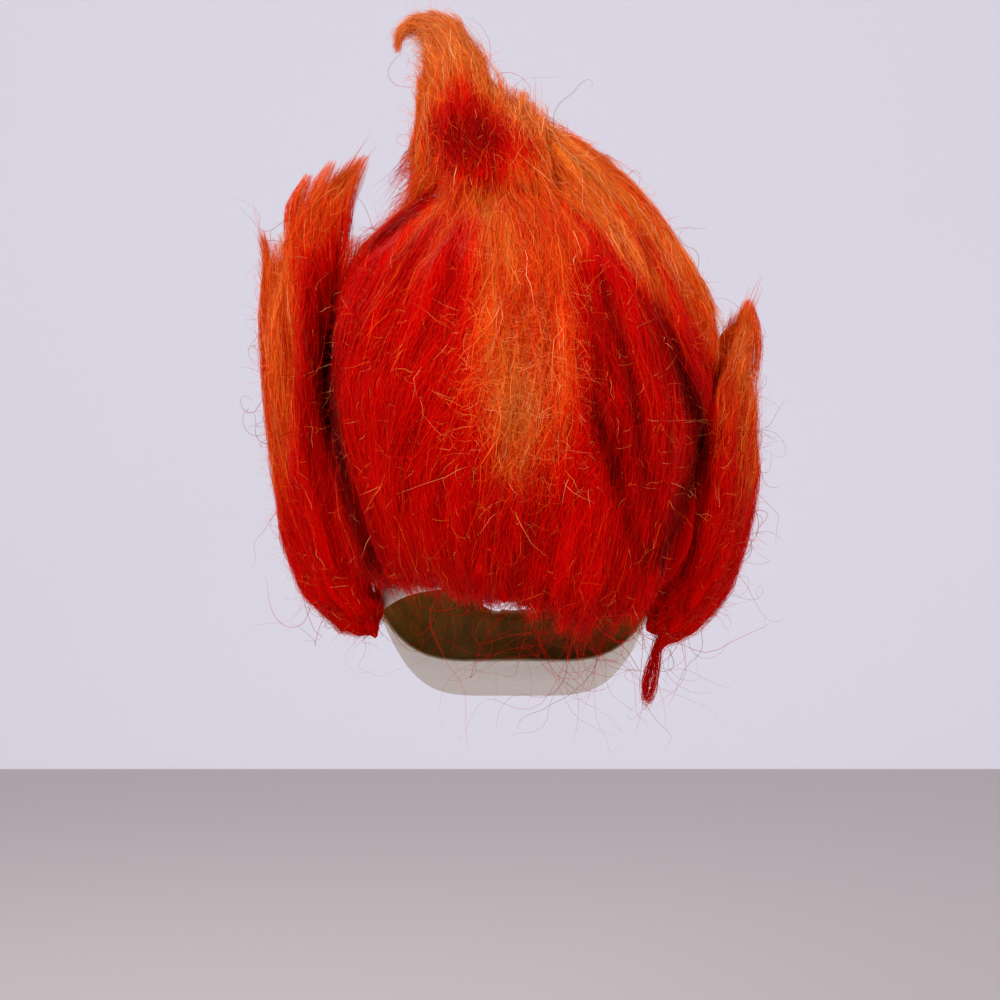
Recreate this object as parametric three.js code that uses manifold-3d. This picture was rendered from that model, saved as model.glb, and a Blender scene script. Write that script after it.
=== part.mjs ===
// A clown mask: a hollow latex head shell with a wig of swept hair glued round it.
// Millimetres, +Z up. The face looks along -Y and the wearer's left is +X.
// The origin is the top of the shell's hollow, where the wearer's crown carries the mask.
import * as THREE from "three";
import { mergeVertices } from "three/addons/utils/BufferGeometryUtils.js";
import Module from "manifold-3d";

const wasm = await Module();
wasm.setup();

// Sizes of the latex shell
const WALL = 2.5;
const SHELL_HEIGHT = 265; // from the crown to the bottom of the chin
const SHELL_HALF_WIDTH = 88;
const FACE_REACH = 98; // from the head's axis to the forehead
const SKULL_REACH = 96; // from the head's axis to the back of the head
const RELIEF = 8; // the highest cheek above the plain curve of the head
const NOSE_RADIUS = 19;
const NOSE_LEAD = 7; // the ball's middle in front of the face
const EYE_WIDTH = 30;
const EYE_HEIGHT = 15;
const EYE_SPACING = 66; // between the eyes' centres
const MOUTH_WIDTH = 48;
const MOUTH_GAP = 8;
const NOSTRIL_RADIUS = 2.2;
const NOSTRIL_SPACING = 15;

// Sizes of the hair
const CLEARANCE = 0.3; // between pieces that rest on each other
const CROWN_LOFT = 50; // depth of the hair on the crown
const BACK_LOFT = 42; // depth of the hair behind the head
const SIDE_LOFT = 66; // how far the side tufts stand out from the shell
const CREST_RISE = 156; // top of the crest above the crown
const LOCK_WIDTH = 42; // of one lock of the back hair
const LOCK_DEPTH = 15;
const CURL_LENGTH = 34; // the looped lock under the right tuft
const CURL_WIDTH = 11;
const CURL_THICKNESS = 4.4;

// Heights of the features of the face, as shares of the shell's height below the crown
const EYE_LINE = 0.5;
const NOSE_LINE = 0.635;
const MOUTH_LINE = 0.79;
const SMILE = 0.03; // rise of the mouth's corners

// The head's profiles from the crown to the rim. Drops are shares of SHELL_HEIGHT, and the
// reaches are shares of FACE_REACH, SHELL_HALF_WIDTH and SKULL_REACH.
const PROFILE = [
  { frontDrop: 0.0, front: 0.0, sideDrop: 0.0, side: 0.0, backDrop: 0.0, back: 0.0 },
  { frontDrop: 0.015, front: 0.3, sideDrop: 0.015, side: 0.31, backDrop: 0.012, back: 0.3 },
  { frontDrop: 0.075, front: 0.62, sideDrop: 0.07, side: 0.62, backDrop: 0.06, back: 0.6 },
  { frontDrop: 0.17, front: 0.83, sideDrop: 0.16, side: 0.83, backDrop: 0.14, back: 0.83 },
  { frontDrop: 0.29, front: 0.95, sideDrop: 0.27, side: 0.95, backDrop: 0.25, back: 0.96 },
  { frontDrop: 0.41, front: 0.98, sideDrop: 0.38, side: 1.0, backDrop: 0.36, back: 1.0 },
  { frontDrop: 0.51, front: 0.94, sideDrop: 0.48, side: 0.99, backDrop: 0.46, back: 0.96 },
  { frontDrop: 0.61, front: 0.95, sideDrop: 0.56, side: 0.98, backDrop: 0.54, back: 0.89 },
  { frontDrop: 0.71, front: 0.97, sideDrop: 0.64, side: 0.97, backDrop: 0.61, back: 0.81 },
  { frontDrop: 0.81, front: 0.97, sideDrop: 0.7, side: 0.96, backDrop: 0.66, back: 0.75 },
  { frontDrop: 0.91, front: 0.95, sideDrop: 0.75, side: 0.95, backDrop: 0.69, back: 0.72 },
  { frontDrop: 0.975, front: 0.89, sideDrop: 0.775, side: 0.945, backDrop: 0.705, back: 0.705 },
  { frontDrop: 1.0, front: 0.77, sideDrop: 0.785, side: 0.94, backDrop: 0.712, back: 0.7 },
  { frontDrop: 0.965, front: 0.61, sideDrop: 0.788, side: 0.935, backDrop: 0.717, back: 0.695 },
  { frontDrop: 0.91, front: 0.48, sideDrop: 0.79, side: 0.93, backDrop: 0.72, back: 0.69 },
];

// The mounds and hollows of the face. Across and wide are shares of SHELL_HALF_WIDTH, drop and
// tall of SHELL_HEIGHT and rise of RELIEF. A row is on both sides unless its across is nought.
const FEATURES = [
  { name: "brow", across: 0.38, drop: 0.435, wide: 0.24, tall: 0.028, rise: 0.55 },
  { name: "socket", across: 0.38, drop: 0.5, wide: 0.2, tall: 0.032, rise: -0.9 },
  { name: "cheek", across: 0.5, drop: 0.655, wide: 0.24, tall: 0.055, rise: 1.0 },
  { name: "bridge", across: 0.0, drop: 0.54, wide: 0.11, tall: 0.07, rise: 0.9 },
  { name: "chin", across: 0.0, drop: 0.915, wide: 0.26, tall: 0.038, rise: 0.8 },
];
const LIP = { wide: 0.4, tall: 0.014, rise: 0.6 };

// How finely the solids are faceted
const SHELL_COLUMNS = 40;
const SHELL_ROWS = 23;
const CUTTER_COLUMNS = 24;
const CUTTER_ROWS = 18;
const LOCK_SIDES = 6;
const LOCK_STEPS = 9;

const FULL_TURN = 2 * Math.PI;

// The bundles of swept hair, from the root end to the tip. The spine's place is given by out,
// back and up, and the section by its half sizes wide and deep, in shares of SIDE_LOFT.
// For the side tufts out is a share of SIDE_LOFT from the shell's side, back of SKULL_REACH and
// up of SHELL_HEIGHT, all from the crown.
const LEFT_TUFT = [
  { out: -0.12, back: 0.42, up: -0.825, wide: 0.1, deep: 0.2 },
  { out: 0.06, back: 0.38, up: -0.765, wide: 0.3, deep: 0.46 },
  { out: 0.24, back: 0.3, up: -0.65, wide: 0.46, deep: 0.7 },
  { out: 0.38, back: 0.24, up: -0.47, wide: 0.46, deep: 0.78 },
  { out: 0.46, back: 0.22, up: -0.25, wide: 0.42, deep: 0.72 },
  { out: 0.5, back: 0.22, up: -0.04, wide: 0.36, deep: 0.52 },
  { out: 0.34, back: 0.22, up: 0.13, wide: 0.23, deep: 0.3 },
  { out: 0.08, back: 0.22, up: 0.235, wide: 0.04, deep: 0.06 },
];
const LEFT_OUTER_TUFT = [
  { out: 0.34, back: 0.36, up: -0.67, wide: 0.18, deep: 0.3 },
  { out: 0.56, back: 0.32, up: -0.51, wide: 0.26, deep: 0.42 },
  { out: 0.66, back: 0.26, up: -0.33, wide: 0.24, deep: 0.44 },
  { out: 0.72, back: 0.22, up: -0.16, wide: 0.19, deep: 0.34 },
  { out: 0.82, back: 0.2, up: -0.03, wide: 0.11, deep: 0.2 },
  { out: 0.9, back: 0.2, up: 0.045, wide: 0.03, deep: 0.05 },
];
const RIGHT_TUFT = [
  { out: -0.1, back: 0.42, up: -0.84, wide: 0.1, deep: 0.2 },
  { out: 0.04, back: 0.38, up: -0.78, wide: 0.28, deep: 0.46 },
  { out: 0.24, back: 0.32, up: -0.66, wide: 0.44, deep: 0.7 },
  { out: 0.36, back: 0.26, up: -0.49, wide: 0.44, deep: 0.78 },
  { out: 0.46, back: 0.24, up: -0.33, wide: 0.38, deep: 0.68 },
  { out: 0.6, back: 0.22, up: -0.2, wide: 0.22, deep: 0.4 },
  { out: 0.76, back: 0.22, up: -0.085, wide: 0.03, deep: 0.06 },
];
// For the hair of the crown out is a share of SHELL_HALF_WIDTH from the head's axis, back of
// SKULL_REACH and up of CREST_RISE.
const CREST = [
  { out: 0.12, back: 0.26, up: 0.08, wide: 0.92, deep: 0.92 },
  { out: 0.26, back: 0.19, up: 0.34, wide: 0.64, deep: 0.74 },
  { out: 0.36, back: 0.12, up: 0.56, wide: 0.45, deep: 0.52 },
  { out: 0.4, back: 0.08, up: 0.74, wide: 0.33, deep: 0.38 },
  { out: 0.46, back: 0.05, up: 0.87, wide: 0.24, deep: 0.27 },
  { out: 0.61, back: 0.03, up: 0.94, wide: 0.145, deep: 0.16 },
  { out: 0.76, back: 0.02, up: 0.92, wide: 0.08, deep: 0.09 },
  { out: 0.79, back: 0.02, up: 0.84, wide: 0.03, deep: 0.03 },
];
const CREST_SHOULDER = [
  { out: -0.04, back: 0.34, up: 0.1, wide: 0.74, deep: 0.6 },
  { out: -0.03, back: 0.26, up: 0.3, wide: 0.66, deep: 0.62 },
  { out: 0.02, back: 0.18, up: 0.48, wide: 0.56, deep: 0.5 },
  { out: -0.01, back: 0.12, up: 0.66, wide: 0.34, deep: 0.28 },
];
const RIGHT_SLOPE = [
  { out: 0.02, back: 0.16, up: 0.56, wide: 0.1, deep: 0.2 },
  { out: -0.26, back: 0.2, up: 0.38, wide: 0.34, deep: 0.6 },
  { out: -0.68, back: 0.26, up: 0.14, wide: 0.38, deep: 0.7 },
  { out: -1.02, back: 0.3, up: -0.14, wide: 0.36, deep: 0.64 },
  { out: -1.18, back: 0.32, up: -0.42, wide: 0.3, deep: 0.5 },
  { out: -1.22, back: 0.32, up: -0.66, wide: 0.14, deep: 0.26 },
];

// The locks of the back hair, from the wearer's left to right. Turn is the angle from straight
// back as a share of a right angle, at the crown and again at the end. Level is where the lock
// leaves the head, as a share of the way from crown to rim, and hang is how far it reaches below
// that, as a share of SHELL_HEIGHT. Wide and deep are shares of LOCK_WIDTH and LOCK_DEPTH.
const BACK_LOCKS = [
  { turn: 0.5, endTurn: 0.74, level: 0.6, hang: 0.01, wide: 1.1, deep: 0.55 },
  { turn: 0.44, endTurn: 0.5, level: 0.63, hang: 0.02, wide: 1.3, deep: 1.1 },
  { turn: 0.2, endTurn: 0.28, level: 0.65, hang: 0.02, wide: 1.1, deep: 0.9 },
  { turn: 0.06, endTurn: 0.06, level: 0.66, hang: 0.03, wide: 1.25, deep: 1.2 },
  { turn: -0.12, endTurn: -0.16, level: 0.68, hang: 0.04, wide: 0.95, deep: 0.85 },
  { turn: -0.24, endTurn: -0.38, level: 0.67, hang: 0.045, wide: 1.3, deep: 1.15 },
  { turn: -0.42, endTurn: -0.6, level: 0.64, hang: 0.03, wide: 1.1, deep: 0.9 },
  { turn: -0.5, endTurn: -0.8, level: 0.6, hang: 0.01, wide: 1.1, deep: 0.55 },
];

function smoothStep(low, high, value) {
  const share = Math.min(Math.max((value - low) / (high - low), 0), 1);
  return share * share * (3 - 2 * share);
}

// A smooth value between the rows of a table, at a share of the way through it
function along(rows, column, share) {
  const place = Math.min(Math.max(share, 0), 1) * (rows.length - 1);
  const start = Math.min(Math.floor(place), rows.length - 2);
  const read = (index) => rows[Math.min(Math.max(index, 0), rows.length - 1)][column];
  const [before, from, to, after] = [start - 1, start, start + 1, start + 2].map(read);
  const part = place - start;
  const leave = (to - before) / 2;
  const arrive = (after - from) / 2;
  return (
    from +
    part * leave +
    part * part * (3 * (to - from) - 2 * leave - arrive) +
    part * part * part * (leave + arrive - 2 * (to - from))
  );
}

// The plain curve of the head, at an angle from the face and a level from crown to rim
function headCurve(angle, level) {
  const sine = Math.sin(angle);
  const cosine = Math.cos(angle);
  const sideWeight = Math.abs(sine) ** 4;
  const facing = cosine > 0;
  const endDrop = along(PROFILE, facing ? "frontDrop" : "backDrop", level);
  const drop = endDrop * (1 - sideWeight) + along(PROFILE, "sideDrop", level) * sideWeight;
  const width = along(PROFILE, "side", level) * SHELL_HALF_WIDTH;
  const depth = facing
    ? along(PROFILE, "front", level) * FACE_REACH
    : along(PROFILE, "back", level) * SKULL_REACH;
  const squareness = 0.84;
  return new THREE.Vector3(
    Math.sign(sine) * Math.abs(sine) ** squareness * width,
    -Math.sign(cosine) * Math.abs(cosine) ** squareness * depth,
    WALL - drop * SHELL_HEIGHT,
  );
}

// How far the face stands out from that curve, at a place on the front of the head
function faceRelief(point) {
  const across = Math.abs(point.x) / SHELL_HALF_WIDTH;
  const drop = (WALL - point.z) / SHELL_HEIGHT;
  let rise = 0;
  for (const feature of FEATURES) {
    const aside = (across - feature.across) / feature.wide;
    const aloft = (drop - feature.drop) / feature.tall;
    rise += feature.rise * Math.exp(-aside * aside - aloft * aloft);
  }
  const lipAside = across / LIP.wide;
  const lipAloft = (drop - MOUTH_LINE + SMILE * lipAside * lipAside) / LIP.tall;
  const lips = Math.abs(Math.abs(lipAloft) - 1);
  rise += LIP.rise * Math.exp(-lips * lips - lipAside ** 4);
  return rise * RELIEF * smoothStep(0, FACE_REACH / 2, -point.y);
}

// The outer surface of the shell, without the ball of the nose
function shellSurface(angle, level) {
  const plain = headCurve(angle, level);
  const outward = new THREE.Vector3(plain.x, plain.y, 0).normalize();
  return plain.addScaledVector(outward, faceRelief(plain));
}

// The outward normal of the shell's surface
function shellNormal(angle, level) {
  const turn = 0.02;
  const step = 0.006;
  const low = Math.max(level - step, 0.001);
  const high = Math.min(level + step, 1);
  const down = shellSurface(angle, high).sub(shellSurface(angle, low));
  const round = shellSurface(angle + turn, level).sub(shellSurface(angle - turn, level));
  return down.cross(round).normalize();
}

// A closed solid from a grid of rings that starts at a pole and ends at a second pole
function gridSolid(pole, rings, lastPole) {
  const count = rings[0].length;
  const points = [pole, ...rings.flat(), lastPole];
  const last = points.length - 1;
  const at = (ring, column) => 1 + ring * count + (column % count);
  const faces = [];
  for (let column = 0; column < count; column += 1) {
    faces.push([0, at(0, column), at(0, column + 1)]);
    faces.push([last, at(rings.length - 1, column + 1), at(rings.length - 1, column)]);
    for (let ring = 0; ring < rings.length - 1; ring += 1) {
      faces.push([at(ring, column), at(ring + 1, column), at(ring + 1, column + 1)]);
      faces.push([at(ring, column), at(ring + 1, column + 1), at(ring, column + 1)]);
    }
  }
  const mesh = new wasm.Mesh({
    numProp: 3,
    vertProperties: new Float32Array(points.flatMap((point) => point.toArray())),
    triVerts: new Uint32Array(faces.flat()),
  });
  const solid = new wasm.Manifold(mesh);
  if (solid.volume() > 0) return solid;
  const turned = faces.map(([first, second, third]) => [first, third, second]);
  mesh.triVerts = new Uint32Array(turned.flat());
  return new wasm.Manifold(mesh);
}

// A solid from a closed three.js geometry
function geometrySolid(geometry) {
  geometry.deleteAttribute("normal");
  geometry.deleteAttribute("uv");
  const merged = mergeVertices(geometry, 0.0001);
  return new wasm.Manifold(
    new wasm.Mesh({
      numProp: 3,
      vertProperties: new Float32Array(merged.attributes.position.array),
      triVerts: new Uint32Array(merged.index.array),
    }),
  );
}

// Angles round the head that lie closer together on the face than on the back
function columnAngle(column, columns) {
  const even = (FULL_TURN * column) / columns;
  const crowding = 0.42;
  return even - crowding * Math.sin(even);
}

function shellRing(level, inset) {
  return Array.from({ length: SHELL_COLUMNS }, (_, column) => {
    const angle = columnAngle(column, SHELL_COLUMNS);
    return shellSurface(angle, level).addScaledVector(shellNormal(angle, level), -inset);
  });
}

function shellLevels() {
  return Array.from({ length: SHELL_ROWS }, (_, row) => (row + 1) / SHELL_ROWS);
}

function shellSolid() {
  const outer = shellLevels().map((level) => shellRing(level, 0));
  const inner = shellLevels().map((level) => shellRing(level, WALL));
  const top = new THREE.Vector3(0, 0, WALL);
  return gridSolid(top, [...outer, ...inner.reverse()], new THREE.Vector3(0, 0, 0));
}

// The middle of the ball of the nose, a little in front of the face
function noseCentre() {
  const level = shellLevels().find((share) => along(PROFILE, "frontDrop", share) >= NOSE_LINE);
  return new THREE.Vector3(
    0,
    shellSurface(0, level).y - NOSE_LEAD,
    WALL - NOSE_LINE * SHELL_HEIGHT,
  );
}

// The shell with the ball of the nose on it, hollow like the face behind it
function addNose(shell) {
  const ball = (radius) => {
    const geometry = new THREE.SphereGeometry(radius, 12, 9);
    geometry.translate(...noseCentre());
    return geometrySolid(geometry);
  };
  const middle = shellLevels().map((share) => shellRing(share, WALL / 2));
  const top = new THREE.Vector3(0, 0, WALL / 2);
  const filled = gridSolid(top, middle, new THREE.Vector3(0, 0, middle.at(-1)[0].z));
  return shell.add(ball(NOSE_RADIUS).subtract(filled)).subtract(ball(NOSE_RADIUS - WALL));
}

// The filled head, grown a little, that every piece of hair is cut with
function headCutter() {
  const aroundSag = SHELL_HALF_WIDTH * (1 - Math.cos(Math.PI / CUTTER_COLUMNS));
  const sag = 2 * aroundSag;
  const centre = headCentre();
  const rings = Array.from({ length: CUTTER_ROWS }, (_, row) =>
    Array.from({ length: CUTTER_COLUMNS }, (_, column) => {
      const angle = (FULL_TURN * column) / CUTTER_COLUMNS;
      const point = headCurve(angle, (row + 1) / CUTTER_ROWS);
      return point.addScaledVector(point.clone().sub(centre).normalize(), CLEARANCE + sag);
    }),
  );
  const top = new THREE.Vector3(0, 0, WALL + CLEARANCE + sag);
  const floor = new THREE.Vector3(0, 0, rings.at(-1)[0].z);
  return gridSolid(top, rings, floor);
}

function headCentre() {
  const level = 0.38;
  return new THREE.Vector3(0, 0, -level * SHELL_HEIGHT);
}

// The plain depth of the back hair over the shell: none on the face and none at the rim
function hairDepth(angle, level) {
  const point = headCurve(angle, level);
  const back = smoothStep(-0.62 * FACE_REACH, -0.1 * FACE_REACH, point.y);
  const crown = 1 - smoothStep(0.1, 0.5, level);
  const rear = smoothStep(0.1, 1, -Math.cos(angle));
  const sideDepth = 0.1 * BACK_LOFT;
  const body = crown * CROWN_LOFT + (1 - crown) * (sideDepth + (BACK_LOFT - sideDepth) * rear);
  const hem = 1 - smoothStep(0.55, 0.86, level);
  const sunk = 3;
  return (body + sunk) * back * hem - sunk;
}

// A point at a height over the shell, measured away from the middle of the head
function overHead(angle, level, height) {
  const point = headCurve(angle, level);
  return point.addScaledVector(point.clone().sub(headCentre()).normalize(), height);
}

// A tapering solid swept through sections that each have a centre and two half axes
function sweepSolid(sections, grow) {
  const beyond = (end, next) => {
    const outwards = end.centre.clone().sub(next.centre).normalize();
    return end.centre.clone().addScaledVector(outwards, 2 * grow);
  };
  const rings = sections.slice(1, -1).map(({ centre, wide, deep }) =>
    Array.from({ length: LOCK_SIDES }, (_, side) => {
      const turn = (FULL_TURN * side) / LOCK_SIDES;
      return centre
        .clone()
        .addScaledVector(wide, Math.cos(turn))
        .addScaledVector(deep, Math.sin(turn));
    }),
  );
  const first = beyond(sections[0], sections[1]);
  const last = beyond(sections.at(-1), sections.at(-2));
  return gridSolid(first, rings, last);
}

// How thick a lock is along its length: round at the root and drawn out at the tip
function lockTaper(share) {
  const rootShare = 0.12;
  const tipShare = 0.3;
  const root = Math.sqrt(Math.min(share / rootShare, 1));
  const tip = Math.min((1 - share) / tipShare, 1) ** 0.6;
  return root * tip;
}

// The section of a bundle at a share of its length: its centre and its two half axes
function bundleSection(rows, place, share) {
  const step = 0.01;
  const direction = place(rows, Math.min(share + step, 1));
  direction.sub(place(rows, Math.max(share - step, 0)));
  const wideAxis = new THREE.Vector3(0, 1, 0).cross(direction).normalize();
  return {
    centre: place(rows, share),
    wide: along(rows, "wide", share) * SIDE_LOFT,
    deep: along(rows, "deep", share) * SIDE_LOFT,
    wideAxis,
    deepAxis: direction.cross(wideAxis).normalize(),
  };
}

// One lock of a bundle. Apart is its distance from the spine and thick its half thickness, as
// shares of the bundle's half sizes, turn is its place round the spine and end where it stops.
function bundleLock(rows, place, { apart, thick, turn, twist, end }, grow) {
  const sections = Array.from({ length: LOCK_STEPS + 1 }, (_, step) => {
    const share = step / LOCK_STEPS;
    const round = turn + twist * share;
    const { centre, wide, deep, wideAxis, deepAxis } = bundleSection(rows, place, share * end);
    const size = thick * lockTaper(share);
    centre.addScaledVector(wideAxis, apart * wide * Math.cos(round));
    centre.addScaledVector(deepAxis, apart * deep * Math.sin(round));
    return {
      centre,
      wide: wideAxis.multiplyScalar(wide * size + grow),
      deep: deepAxis.multiplyScalar(deep * size + grow),
    };
  });
  return sweepSolid(sections, grow);
}

// The locks of one bundle: a thick one in the middle and a round of thinner ones about it,
// which stop at one of three lengths
function bundleSolids(rows, place, { locks, twist }, grow) {
  const core = bundleLock(rows, place, { apart: 0, thick: 0.72, turn: 0, twist, end: 1 }, grow);
  const around = Array.from({ length: locks }, (_, index) => {
    const shorter = 0.07 * ((index * 2) % 3);
    const turn = (FULL_TURN * index) / locks;
    const lock = { apart: 0.5, thick: 0.5, turn, twist, end: 1 - shorter };
    return bundleLock(rows, place, lock, grow);
  });
  return [core, ...around];
}

// Where a bundle's spine runs: beside the shell on one side, or over the crown
function besideHead(side) {
  return (rows, share) =>
    new THREE.Vector3(
      side * (SHELL_HALF_WIDTH + along(rows, "out", share) * SIDE_LOFT),
      along(rows, "back", share) * SKULL_REACH,
      along(rows, "up", share) * SHELL_HEIGHT,
    );
}

function overCrown(rows, share) {
  return new THREE.Vector3(
    along(rows, "out", share) * SHELL_HALF_WIDTH,
    along(rows, "back", share) * SKULL_REACH,
    along(rows, "up", share) * CREST_RISE,
  );
}

function joined(solids) {
  return solids.reduce((whole, solid) => whole.add(solid));
}

// One lock of the back hair, from the crown over the back of the head to its ragged end
function backLock(row, grow) {
  const startLevel = 0.1;
  const sections = Array.from({ length: LOCK_STEPS + 1 }, (_, step) => {
    const share = step / LOCK_STEPS;
    const turn = row.turn + (row.endTurn - row.turn) * share;
    const angle = Math.PI - (turn * Math.PI) / 2;
    const outward = new THREE.Vector3(Math.sin(angle), -Math.cos(angle), 0);
    const sideways = new THREE.Vector3(Math.cos(angle), Math.sin(angle), 0);
    const level = startLevel + (row.level - startLevel) * share;
    const buried = LOCK_DEPTH * (0.35 + 1.1 * (1 - smoothStep(0, 0.4, share)));
    const depth = Math.max(hairDepth(angle, level), BACK_LOFT * 0.3) - buried;
    const centre = overHead(angle, level, depth);
    const fall = smoothStep(0.6, 1, share);
    centre.z -= fall * row.hang * SHELL_HEIGHT;
    const upright = overHead(angle, level, 1).sub(overHead(angle, level, 0)).normalize();
    const thick = lockTaper(share);
    const wide = (LOCK_WIDTH / 2) * row.wide * thick + grow;
    const deep = LOCK_DEPTH * row.deep * thick + grow;
    return {
      centre,
      wide: sideways.multiplyScalar(wide),
      deep: upright.lerp(outward, fall).normalize().multiplyScalar(deep),
    };
  });
  return sweepSolid(sections, grow);
}

// The hair of the crown and the back of the head
function backHairSolid(grow) {
  const rings = Array.from({ length: CUTTER_ROWS }, (_, row) =>
    Array.from({ length: CUTTER_COLUMNS }, (_, column) => {
      const angle = (FULL_TURN * column) / CUTTER_COLUMNS;
      const level = (row + 1) / CUTTER_ROWS;
      return overHead(angle, level, hairDepth(angle, level) + grow);
    }),
  );
  const top = new THREE.Vector3(0, 0, WALL + CROWN_LOFT + grow);
  const inside = new THREE.Vector3(0, 0, rings.at(-1)[0].z * 0.8);
  const cap = gridSolid(top, rings, inside);
  const locks = BACK_LOCKS.map((row) => backLock(row, grow));
  const slope = bundleSolids(RIGHT_SLOPE, overCrown, { locks: 5, twist: 0.7 }, grow);
  return joined([cap, ...locks, ...slope]);
}

function crestSolid() {
  const spike = bundleSolids(CREST, overCrown, { locks: 5, twist: 1.1 }, 0);
  const shoulder = bundleSolids(CREST_SHOULDER, overCrown, { locks: 4, twist: 0.5 }, 0);
  return joined([...spike, ...shoulder]);
}

function leftTuftSolid() {
  const main = bundleSolids(LEFT_TUFT, besideHead(1), { locks: 6, twist: 0.8 }, 0);
  const outer = bundleSolids(LEFT_OUTER_TUFT, besideHead(1), { locks: 4, twist: 0.6 }, 0);
  return joined([...main, ...outer]);
}

// The looped lock: a thin ring of hair that hangs out of the right tuft
function curlSolid() {
  const top = besideHead(-1)(RIGHT_TUFT, 0.05);
  const half = CURL_LENGTH / 2;
  const steps = 16;
  const points = Array.from({ length: steps }, (_, step) => {
    const turn = (FULL_TURN * step) / steps;
    const narrowing = 0.62 - 0.38 * Math.cos(turn);
    const across = (Math.sin(turn) * narrowing * (CURL_WIDTH - CURL_THICKNESS)) / 2;
    return new THREE.Vector3(top.x + across, top.y, top.z - half + half * Math.cos(turn));
  });
  const sides = 5;
  const section = Array.from({ length: sides }, (_, side) => {
    const turn = (FULL_TURN * side) / sides;
    const radius = CURL_THICKNESS / 2;
    return new THREE.Vector2(radius * Math.cos(turn), radius * Math.sin(turn));
  });
  const geometry = new THREE.ExtrudeGeometry(new THREE.Shape(section), {
    extrudePath: new THREE.CatmullRomCurve3(points, true),
    steps: steps + steps / 2,
    bevelEnabled: false,
  });
  return geometrySolid(geometry);
}

function rightTuftSolid() {
  const main = bundleSolids(RIGHT_TUFT, besideHead(-1), { locks: 6, twist: -0.8 }, 0);
  return joined(main);
}

// An outline pushed through the front wall of the shell
function frontCutter(outline, across, drop) {
  const depth = FACE_REACH + NOSE_RADIUS;
  const geometry = new THREE.ExtrudeGeometry(new THREE.Shape(outline), {
    depth,
    steps: 1,
    bevelEnabled: false,
  });
  geometry.rotateX(Math.PI / 2);
  geometry.translate(across, -FACE_REACH / 2, WALL - drop * SHELL_HEIGHT);
  return geometrySolid(geometry);
}

// An almond with its outer corner a little higher than its inner one
function eyeOutline(side) {
  const steps = 16;
  const tilt = 0.12;
  return Array.from({ length: steps }, (_, step) => {
    const turn = (FULL_TURN * step) / steps;
    const across = (Math.cos(turn) * EYE_WIDTH) / 2;
    const aloft = (Math.sin(turn) * Math.sqrt(Math.abs(Math.sin(turn))) * EYE_HEIGHT) / 2;
    return new THREE.Vector2(across, aloft + side * tilt * across);
  });
}

// A slot that follows the smile
function mouthOutline() {
  const steps = 8;
  const edge = (side) =>
    Array.from({ length: steps + 1 }, (_, step) => {
      const share = (2 * step) / steps - 1;
      const across = (share * MOUTH_WIDTH) / 2;
      const bend = across / (LIP.wide * SHELL_HALF_WIDTH);
      const half = (MOUTH_GAP / 2) * Math.sqrt(1 - 0.9 * share * share);
      return new THREE.Vector2(across, SMILE * bend * bend * SHELL_HEIGHT + side * half);
    });
  return [...edge(-1), ...edge(1).reverse()];
}

function nostrilCutter(side) {
  const geometry = new THREE.CylinderGeometry(NOSTRIL_RADIUS, NOSTRIL_RADIUS, NOSE_RADIUS, 10);
  geometry.rotateX(Math.PI / 2);
  const { x, y, z } = noseCentre();
  geometry.translate(x + (side * NOSTRIL_SPACING) / 2, y, z - NOSE_RADIUS);
  return geometrySolid(geometry);
}

function maskSolid() {
  let shell = addNose(shellSolid());
  for (const side of [-1, 1]) {
    shell = shell.subtract(frontCutter(eyeOutline(side), (side * EYE_SPACING) / 2, EYE_LINE));
    shell = shell.subtract(nostrilCutter(side));
  }
  return shell.subtract(frontCutter(mouthOutline(), 0, MOUTH_LINE));
}

function largestBody(solid) {
  const bodies = solid.decompose();
  return bodies.reduce((best, body) => (body.volume() > best.volume() ? body : best));
}

function solidGeometry(solid) {
  const mesh = solid.getMesh();
  const stride = mesh.numProp;
  const count = mesh.vertProperties.length / stride;
  const positions = new Float32Array(count * 3);
  for (let vertex = 0; vertex < count; vertex += 1) {
    positions.set(mesh.vertProperties.subarray(vertex * stride, vertex * stride + 3), vertex * 3);
  }
  const geometry = new THREE.BufferGeometry();
  geometry.setAttribute("position", new THREE.BufferAttribute(positions, 3));
  geometry.setIndex(new THREE.BufferAttribute(new Uint32Array(mesh.triVerts), 1));
  geometry.computeVertexNormals();
  return geometry;
}

const latex = new THREE.MeshStandardMaterial({ color: 0xe9e4da, roughness: 0.55, metalness: 0 });
const redHair = new THREE.MeshStandardMaterial({ color: 0xb8160a, roughness: 0.6, metalness: 0 });
const orangeHair = new THREE.MeshStandardMaterial({ color: 0xe5581a, roughness: 0.6, metalness: 0 });

function piece(name, solid, material) {
  const mesh = new THREE.Mesh(solidGeometry(solid), material);
  mesh.name = name;
  return mesh;
}

const cutter = headCutter();
const backHair = largestBody(backHairSolid(0).subtract(cutter));
const backSpace = backHairSolid(CLEARANCE).add(cutter);
const leftTuft = largestBody(leftTuftSolid().subtract(backSpace));
const rightTuft = largestBody(rightTuftSolid().add(curlSolid()).subtract(backSpace));
const crest = largestBody(crestSolid().subtract(backSpace));

const group = new THREE.Group();
group.add(piece("mask_shell", maskSolid(), latex));
group.add(piece("hair_back", backHair, redHair));
group.add(piece("hair_crest", crest, orangeHair));
group.add(piece("hair_left", leftTuft, redHair));
group.add(piece("hair_right", rightTuft, redHair));

export default group;
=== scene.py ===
"""A clown mask seen from behind: a painted latex shell and its wig of swept synthetic hair."""
import math

import bmesh
import bpy
import numpy as np
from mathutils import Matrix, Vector
from mathutils.bvhtree import BVHTree
from mathutils.kdtree import KDTree


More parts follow.
